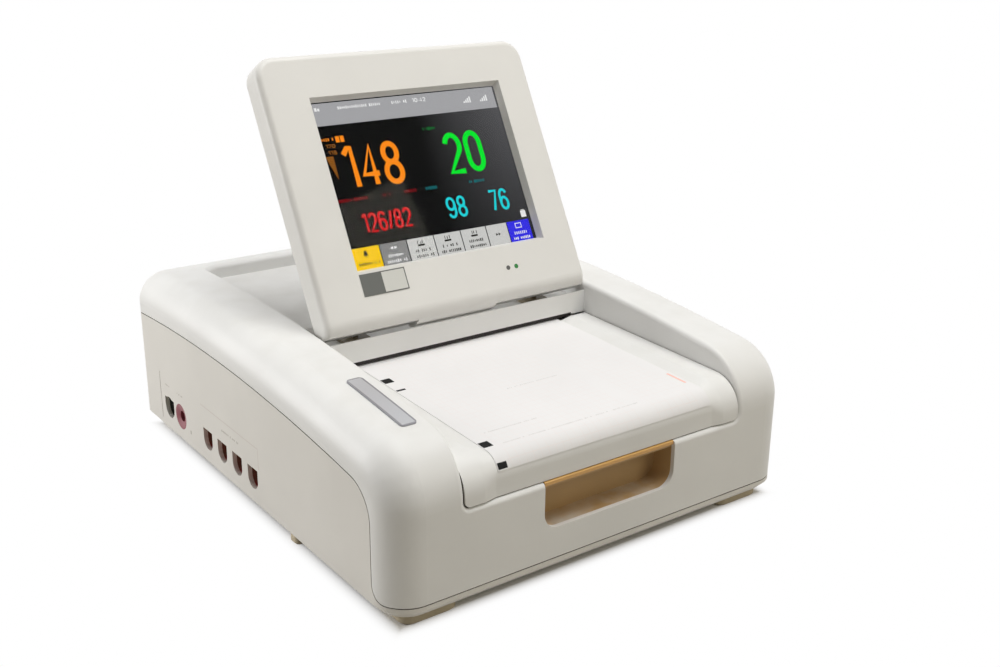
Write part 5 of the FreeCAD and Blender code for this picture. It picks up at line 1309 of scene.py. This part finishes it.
class MONITOR_OT_screen(bpy.types.Operator):
    """Glass and the lit picture under it"""
    bl_idname = "monitor.screen"
    bl_label = "Screen picture"

    def execute(self, context):
        dress(clear_glass(), "touch_glass")
        dress(unlit(), "screen_panel")
        self.sizes = picture()
        self.ground = GLASS_LOW.z + self.sizes.layer
        self.mark_depth = self.ground + 1.5 * self.sizes.layer
        self.drawings = {}
        self.rows = {}
        self.draw_ground()
        self.draw_bar()
        self.draw_figures()
        self.draw_keys()
        for name, bm in self.drawings.items():
            new_piece("picture_" + name, closed_mesh(bm, name, DISPLAY), "display",
                      lit(name, getattr(self.sizes, name)))
        strokes = caption_strokes()
        for seed, (name, rows) in enumerate(self.rows.items()):
            material = bpy.data.materials.get("picture_" + name) or lit(name, getattr(self.sizes, name))
            mesh = grown(rows_mesh(rows), strokes, DISPLAY, Pitch=self.sizes.stroke_pitch, Seed=seed,
                         Height=self.sizes.stroke_height, Depth=self.sizes.layer, Material=material)
            new_piece("captions_" + name, mesh, "display")
        return {"FINISHED"}

    def across(self, millimetres):
        """A distance from the picture's left edge."""
        stretch = (self.sizes.right - self.sizes.left) / self.sizes.drawn_width
        return self.sizes.left + millimetres * MM * stretch

    def down(self, millimetres):
        """A distance from the picture's upper edge."""
        return self.sizes.high - millimetres * MM

    def drawing(self, name):
        return self.drawings.setdefault(name, bmesh.new())

    def patch(self, name, left, top, wide, tall, layer=2):
        """A plain patch of one colour, in millimetres from the upper left corner."""
        back = self.ground + (layer - 1) * self.sizes.layer
        add_slab(self.drawing(name), self.across(left), self.across(left + wide), self.down(top + tall),
                 self.down(top), back, back + self.sizes.layer)

    def figures(self, name, words, left, top, wide, tall, stroke_share=None):
        """Figures that fill a box, in millimetres from the upper left corner."""
        back = self.ground + self.sizes.layer
        stroke = tall * MM * (stroke_share or self.sizes.figure_stroke)
        add_figures(self.drawing(name), words, self.across(left), self.across(left + wide),
                    self.down(top + tall), self.down(top), back, back + self.sizes.layer, stroke)

    def caption(self, name, left, top, wide):
        """A row of strokes, by its left end, its middle and its width."""
        row = (self.across(left), self.across(left + wide), self.down(top), self.mark_depth)
        self.rows.setdefault(name, []).append(row)

    def draw_ground(self):
        bm = bmesh.new()
        sizes = self.sizes
        past = sizes.overlap
        add_slab(bm, sizes.left - sizes.bleed - past, sizes.right + past, sizes.low - past, sizes.high + past,
                 self.ground - 0.6 * sizes.layer, self.ground)
        new_piece("picture_ground", closed_mesh(bm, "picture_ground", DISPLAY), "display",
                  bpy.data.materials["picture_ground"])

    def draw_bar(self):
        sizes = self.sizes
        bleed = sizes.bleed / MM
        self.patch("bar_grey", -bleed, 0.0, sizes.drawn_width / MM + bleed, sizes.bar_height / MM, 1)
        self.patch("white", 1.0, 2.6, 1.7, 2.2)
        self.patch("white", 3.1, 3.1, 1.5, 1.7)
        self.figures("white", sizes.clock_figures, 73.0, 2.4, 10.4, 2.9, 0.2)
        self.caption("white", 18.0, 3.9, 30.0)
        self.caption("white", 57.6, 3.9, 12.0)
        places = [(self.across(left), self.down(9.2), self.mark_depth) for left in (113.0, 126.6)]
        mesh = grown(points_mesh(places), stepped_bars(), DISPLAY, Count=4, Step=(1.6 * MM, 0.0, 0.0),
                     First=(1.1 * MM, 1.2 * MM, sizes.layer), Last=(1.1 * MM, 4.2 * MM, sizes.layer),
                     Rise=(0.0, 0.5, 0.0), Material=lit("signal", sizes.white))
        new_piece("signal_bars", mesh, "display")

    def draw_figures(self):
        sizes = self.sizes
        self.figures("orange", sizes.rate_figures, 10.6, 28.2, 42.4, 28.6)
        self.figures("green", sizes.toco_figures, 86.6, 27.8, 30.6, 28.4)
        self.figures("red", sizes.pressure_figures, 12.6, 71.9, 36.0, 12.9)
        self.figures("cyan", sizes.oxygen_figures, 76.2, 70.0, 15.6, 14.3)
        self.figures("cyan", sizes.pulse_figures, 110.7, 69.5, 15.4, 14.8)
        self.figures("amber", "170", 2.0, 26.2, 6.6, 2.6, 0.2)
        self.figures("amber", "115", 2.6, 30.4, 6.0, 2.6, 0.2)
        self.patch("orange", 10.0, 21.6, 2.7, 4.0)
        self.patch("orange", 13.3, 21.6, 2.7, 4.0)
        for row in (("orange", 0.6, 23.2, 7.4), ("dim_green", 75.2, 23.5, 9.8), ("dim_red", 0.8, 62.4, 19.6),
                    ("dim_red", 32.6, 62.4, 4.8), ("dim_red", 48.8, 62.2, 8.0), ("dim_cyan", 65.2, 62.3, 9.0),
                    ("dim_cyan", 99.3, 62.2, 11.4)):
            self.caption(*row)
        places = [(self.across(2.6), self.down(34.4), self.mark_depth)]
        mesh = grown(points_mesh(places), stepped_bars(), DISPLAY, Count=14,
                     Step=(0.16 * MM, -1.05 * MM, 0.0), First=(5.2 * MM, 0.75 * MM, sizes.layer),
                     Last=(0.5 * MM, 0.75 * MM, sizes.layer), Rise=(0.0, 0.0, 0.0),
                     Material=lit("funnel", sizes.amber))
        new_piece("funnel_scale", mesh, "display")
        self.patch("white", 132.6, 86.6, 4.2, 4.4)
        self.patch("pale_grey", 133.4, 85.8, 2.6, 0.7)

    def draw_keys(self):
        sizes = self.sizes
        whole = sizes.drawn_width / MM
        top = (sizes.high - sizes.low - sizes.key_height) / MM
        tall = sizes.key_height / MM
        gap = sizes.key_gap / MM
        ends = (-sizes.bleed / MM, 19.9, 40.1, 60.6, 81.6, 101.9, 119.1, whole - 0.5)
        colours = ("yellow", "mid_grey", "pale_grey", "pale_grey", "pale_grey", "pale_grey", "blue")
        for left, right, name in zip(ends, ends[1:], colours):
            self.patch(name, left, top, right - left - gap, tall - 0.1, 1)
        self.bell(ends[1] - 11.0, top + 2.0)
        for sign in (-1, 1):
            self.arrow("white", ends[1] + 9.6 + sign * 0.4, top + 3.4, sign * 2.4)
        for key in (2, 3, 4):
            self.tray(ends[key] + 9.7, top + 1.6, key)
        for step in (0.0, 2.0):
            self.arrow("ink", ends[5] + 6.4 + step, top + 6.8, 1.8)
        self.frame_mark(ends[6] + 8.8, top + 3.2)
        self.caption("ink", ends[1] - 17.0, top + 10.4, 14.0)
        for key, name in ((1, "white"), (2, "ink"), (3, "ink"), (4, "ink"), (6, "white")):
            room = ends[key + 1] - ends[key]
            self.caption(name, ends[key] + 0.24 * room, top + 8.2, 0.5 * room)
            self.caption(name, ends[key] + 0.16 * room, top + 11.8, 0.66 * room)

    def shape(self, name, points):
        """A flat mark, in millimetres from the upper left corner."""
        back = self.ground + self.sizes.layer
        placed_points = [(self.across(x), self.down(y)) for x, y in points]
        add_outline(self.drawing(name), placed_points, back, back + self.sizes.layer)

    def bell(self, x, y):
        """A small bell."""
        half = [(2.2, 3.4), (1.3, 2.4), (1.0, 0.6), (0.0, 0.0)]
        right = [(x + across, y + down) for across, down in half]
        left = [(x - across, y + down) for across, down in reversed(half[:-1])]
        self.shape("ink", right + left)
        self.patch("ink", x - 0.5, y + 3.7, 1.0, 0.6)

    def arrow(self, name, x, y, reach):
        """A small triangle that points to one side."""
        points = [(x, y + 1.0), (x + reach, y), (x, y - 1.0)]
        self.shape(name, points if reach > 0 else points[::-1])

    def tray(self, x, y, key):
        """A sheet over a tray, a little different on each key."""
        self.patch("ink", x - 2.6, y + 2.6, 5.2, 1.2)
        self.patch("ink", x - 2.0 + 0.5 * (key - 3), y, 0.5, 2.2)
        self.patch("ink", x + 1.5 + 0.5 * (key - 3), y, 0.5, 2.2)
        self.patch("ink", x - 0.3, y + 0.5 * (4 - key), 0.6, 1.8)

    def frame_mark(self, x, y):
        """An open rectangle."""
        for left, top, wide, tall in ((-2.6, -1.7, 5.2, 0.5), (-2.6, 1.3, 5.2, 0.5), (-2.6, -1.2, 0.5, 2.5),
                                      (2.1, -1.2, 0.5, 2.5)):
            self.patch("white", x + left, y + top, wide, tall)


class MONITOR_OT_display_marks(bpy.types.Operator):
    """Finishes of the two lamps and the printed plate on the bezel"""
    bl_idname = "monitor.display_marks"
    bl_label = "Lamps and front plate"

    def execute(self, context):
        look = fitting()
        dress(lens("lamp_grey", look.standby_lamp, 0.0), "lamp_standby")
        dress(lens("lamp_green", look.power_lamp, 0.6), "lamp_power")
        dress(front_print(), "front_plate")
        return {"FINISHED"}


class MONITOR_OT_contacts(bpy.types.Operator):
    """Contacts on the floors of the sockets"""
    bl_idname = "monitor.contacts"
    bl_label = "Socket contacts"

    def execute(self, context):
        look = fitting()
        tree = contact_pins()
        brass = bpy.data.materials["brass"]
        for name, columns, floor in (("probe_sockets", 3, look.probe_floor),
                                     ("pulse_socket", 4, look.pulse_floor)):
            places = []
            for low, high in solids(name, LEFT_FACE):
                middle = (low + high) / 2
                places.append((middle.x, middle.y + look.pin_rise, -floor))
            mesh = grown(points_mesh(places), tree, LEFT_FACE, Columns=columns, Rows=2, Pitch=look.pin_pitch,
                         Radius=look.pin_radius, Length=look.pin_length, Material=brass)
            new_piece(name + "_contacts", mesh, "body")
        return {"FINISHED"}


class MONITOR_OT_screw_heads(bpy.types.Operator):
    """Cross recessed heads on the screws under the body and behind the display"""
    bl_idname = "monitor.screw_heads"
    bl_label = "Screw heads"

    # A head's radius as a part of its screw's width, and its middle above the screw as a part of its height
    radius_share = 0.46
    rise_share = 0.3

    def execute(self, context):
        tree = cross_heads()
        steel = bpy.data.materials["steel"]
        height = fitting().head_height
        behind = DISPLAY @ UNDERSIDE
        for node, place, body in (("housing_screws", UNDERSIDE, "body"),
                                  ("display_screws", behind, "display")):
            boxes = solids(node, place)
            places = [((low.x + high.x) / 2, (low.y + high.y) / 2, high.z + self.rise_share * height)
                      for low, high in boxes]
            radius = self.radius_share * min(high.x - low.x for low, high in boxes)
            mesh = grown(points_mesh(places), tree, place, Radius=radius, Height=height, Material=steel)
            new_piece(node + "_heads", mesh, body)
        return {"FINISHED"}


class MONITOR_OT_side_print(bpy.types.Operator):
    """Thin printed lines beside the sockets"""
    bl_idname = "monitor.side_print"
    bl_label = "Printed lines"

    # Each caption's ends from the first socket and its drop from the line, then the dot's box, in millimetres
    captions = ((32.0, 55.0, 7.0), (-39.0, -31.0, 6.3), (-59.0, -53.0, 6.3))
    dot = (-20.3, -18.7, 21.0, 23.6)

    def execute(self, context):
        look = fitting()
        line = look.print_line
        sockets = solids("probe_sockets", LEFT_FACE)
        left = sockets[0][0].x
        right = sockets[-1][1].x
        top = sockets[0][1].y + look.print_rise
        lines = bmesh.new()
        self.lay(lines, left, right, top - line, top)
        self.lay(lines, right - line, right, top - look.print_drop, top - line)
        new_piece("side_lines", closed_mesh(lines, "side_lines"), "body",
                  ink("side_line", look.side_line))
        dot = bmesh.new()
        start, stop, low, high = (value * MM for value in self.dot)
        self.lay(dot, left + start, left + stop, low, high)
        material = ink("side", look.side_print)
        new_piece("side_dot", closed_mesh(dot, "side_dot"), "body", material)
        rows = [(left + start * MM, left + stop * MM, top - drop * MM, INK_THICKNESS / 2)
                for start, stop, drop in self.captions]
        mesh = grown(rows_mesh(rows), caption_strokes(), LEFT_FACE, Pitch=look.print_pitch,
                     Height=look.print_height, Depth=INK_THICKNESS, Seed=5, Material=material)
        new_piece("side_captions", mesh, "body")
        return {"FINISHED"}

    def lay(self, bm, left, right, low, high):
        """A printed patch on the body's left side."""
        printed(bm, "bottom_housing", LEFT_FACE, left, right, low, high)


class MONITOR_OT_rocker_marks(bpy.types.Operator):
    """The bar and the ring printed on the two halves of the rocker"""
    bl_idname = "monitor.rocker_marks"
    bl_label = "Rocker marks"

    def execute(self, context):
        look = fitting()
        material = ink("switch", look.switch_print)
        middle = (ROCKER_LOW + ROCKER_HIGH) / 2
        quarter = (ROCKER_HIGH.y - ROCKER_LOW.y) / 4
        thick = INK_THICKNESS
        half = look.switch_line / 2
        bar = bmesh.new()
        add_slab(bar, -half, half, -look.switch_bar, look.switch_bar, -thick, thick)
        ring = bmesh.new()
        add_ring(ring, look.switch_ring, look.switch_bore, -thick, thick)
        for name, bm, y in (("rocker_bar", bar, middle.y + quarter),
                            ("rocker_ring", ring, middle.y - quarter)):
            mesh = closed_mesh(bm, name, face_frame("power_rocker", ROCKER_FACE, middle.x, y))
            new_piece(name, mesh, "rocker", material)
        return {"FINISHED"}


class MONITOR_OT_stage(bpy.types.Operator):
    """Pale floor, soft lamps and the camera"""
    bl_idname = "monitor.stage"
    bl_label = "Stage"

    def execute(self, context):
        setup = stage_setup()
        context.scene.view_settings.view_transform = "Standard"
        self.floor(context, setup)
        self.world(context, setup)
        self.lamp(context, "top_lamp", setup.key_power, setup.key_side, Vector(setup.key_place))
        self.lamp(context, "side_lamp", setup.fill_power, setup.fill_side, Vector(setup.fill_place))
        front = self.lamp(context, "front_lamp", setup.front_power, setup.front_side,
                          Vector(setup.front_place))
        front.color = linear(setup.front_tint)[:3]
        self.camera(context, setup)
        return {"FINISHED"}

    def floor(self, context, setup):
        bm = bmesh.new()
        bmesh.ops.create_circle(bm, cap_ends=True, radius=setup.floor_radius, segments=96)
        mesh = bpy.data.meshes.new("floor")
        bm.to_mesh(mesh)
        bm.free()
        floor = bpy.data.objects.new("floor", mesh)
        context.scene.collection.objects.link(floor)
        material, tree, surface = new_material("floor")
        feed(tree, surface, Roughness=0.9, Specular_IOR_Level=0.0)
        place = apart(tree, own_place(tree))
        across = calc(tree, "SUBTRACT", calc(tree, "ABSOLUTE", place["X"]), CAD_BOX[1].x)
        along = calc(tree, "SUBTRACT", calc(tree, "ABSOLUTE", place["Y"]), CAD_BOX[1].y)
        away = calc(tree, "MAXIMUM", across, along)
        shade = spread(tree, away, setup.shadow_end, setup.white_start, 1.0, 0.0)
        white = calc(tree, "SUBTRACT", 1.0, calc(tree, "POWER", shade, setup.shadow_fade))
        seen = self.seen(tree)
        feed(tree, surface, Base_Color=blend(tree, seen, linear(setup.floor_bounce), linear(setup.floor)))
        plain = add(tree, "ShaderNodeEmission", {"Color": WHITE, "Strength": 1.0}).outputs[0]
        shown = calc(tree, "MULTIPLY", white, seen)
        mix = add(tree, "ShaderNodeMixShader", {0: shown, 1: surface.outputs[0], 2: plain})
        feed(tree, tree.nodes["Material Output"], Surface=mix.outputs[0])
        mesh.materials.append(material)

    def seen(self, tree):
        """Whether the camera sees a point, also in a reflection or through glass."""
        light = add(tree, "ShaderNodeLightPath").outputs
        mirrored = calc(tree, "MAXIMUM", light["Is Glossy Ray"], light["Is Transmission Ray"])
        return calc(tree, "MAXIMUM", light["Is Camera Ray"], mirrored)

    def world(self, context, setup):
        world = bpy.data.worlds.new("studio")
        world.use_nodes = True
        tree = world.node_tree
        seen = self.seen(tree)
        feed(tree, tree.nodes["Background"], Strength=spread(tree, seen, *WHOLE, setup.ambient, 1.0),
             Color=blend(tree, seen, linear(setup.ambient_tint), WHITE))
        context.scene.world = world

    def lamp(self, context, name, power, side, place):
        light = bpy.data.lights.new(name, "AREA")
        light.energy = power
        light.size = side
        lamp = bpy.data.objects.new(name, light)
        turn = (place - CAD_BOX[1] / 2).to_track_quat("Z", "Y").to_matrix().to_4x4()
        lamp.matrix_world = Matrix.Translation(place) @ turn
        context.scene.collection.objects.link(lamp)
        return light

    def camera(self, context, setup):
        data = bpy.data.cameras.new("camera")
        data.sensor_width = 36.0
        data.sensor_fit = "HORIZONTAL"
        data.lens = setup.camera_lens
        data.clip_start = 10 * MM
        camera = bpy.data.objects.new("camera", data)
        turn = Matrix.Rotation(setup.camera_azimuth, 4, "Z")
        turn = turn @ Matrix.Rotation(math.pi / 2 - setup.camera_elevation, 4, "X")
        turn = turn @ Matrix.Rotation(setup.camera_roll, 4, "Z")
        camera.matrix_world = Matrix.Translation(Vector(setup.camera_place)) @ turn
        context.scene.collection.objects.link(camera)
        context.scene.camera = camera


PIECES = (MONITOR_OT_shells, MONITOR_OT_rubber, MONITOR_OT_metal, MONITOR_OT_springs, MONITOR_OT_paper,
          MONITOR_OT_screen, MONITOR_OT_display_marks, MONITOR_OT_contacts, MONITOR_OT_screw_heads,
          MONITOR_OT_side_print, MONITOR_OT_rocker_marks, MONITOR_OT_stage)


class MONITOR_PT_sidebar(bpy.types.Panel):
    """The monitor's settings and the steps that make it"""
    bl_idname = "MONITOR_PT_sidebar"
    bl_label = "Fetal monitor"
    bl_space_type = "VIEW_3D"
    bl_region_type = "UI"
    bl_category = "Monitor"

    def draw(self, context):
        for piece in PIECES:
            self.layout.operator(piece.bl_idname)
        for name in SETTINGS:
            group = getattr(context.scene, name)
            box = self.layout.box()
            for setting in group.bl_rna.properties.keys():
                if setting not in ("rna_type", "name"):
                    box.prop(group, setting)


SETTINGS = {"monitor_shell": ShellFinish, "monitor_fitting": FittingFinish, "monitor_picture": ScreenPicture,
            "monitor_chart": ChartPrint, "monitor_stage": StageSetup}


def register():
    for kind in (*SETTINGS.values(), *PIECES, MONITOR_PT_sidebar):
        bpy.utils.register_class(kind)
    for name, kind in SETTINGS.items():
        setattr(bpy.types.Scene, name, PointerProperty(type=kind))


def unregister():
    for name in SETTINGS:
        delattr(bpy.types.Scene, name)
    for kind in (MONITOR_PT_sidebar, *reversed(PIECES), *SETTINGS.values()):
        bpy.utils.unregister_class(kind)


def main():
    register()
    for piece in PIECES:
        group, name = piece.bl_idname.split(".")
        getattr(getattr(bpy.ops, group), name)()


if __name__ == "__main__":
    main()
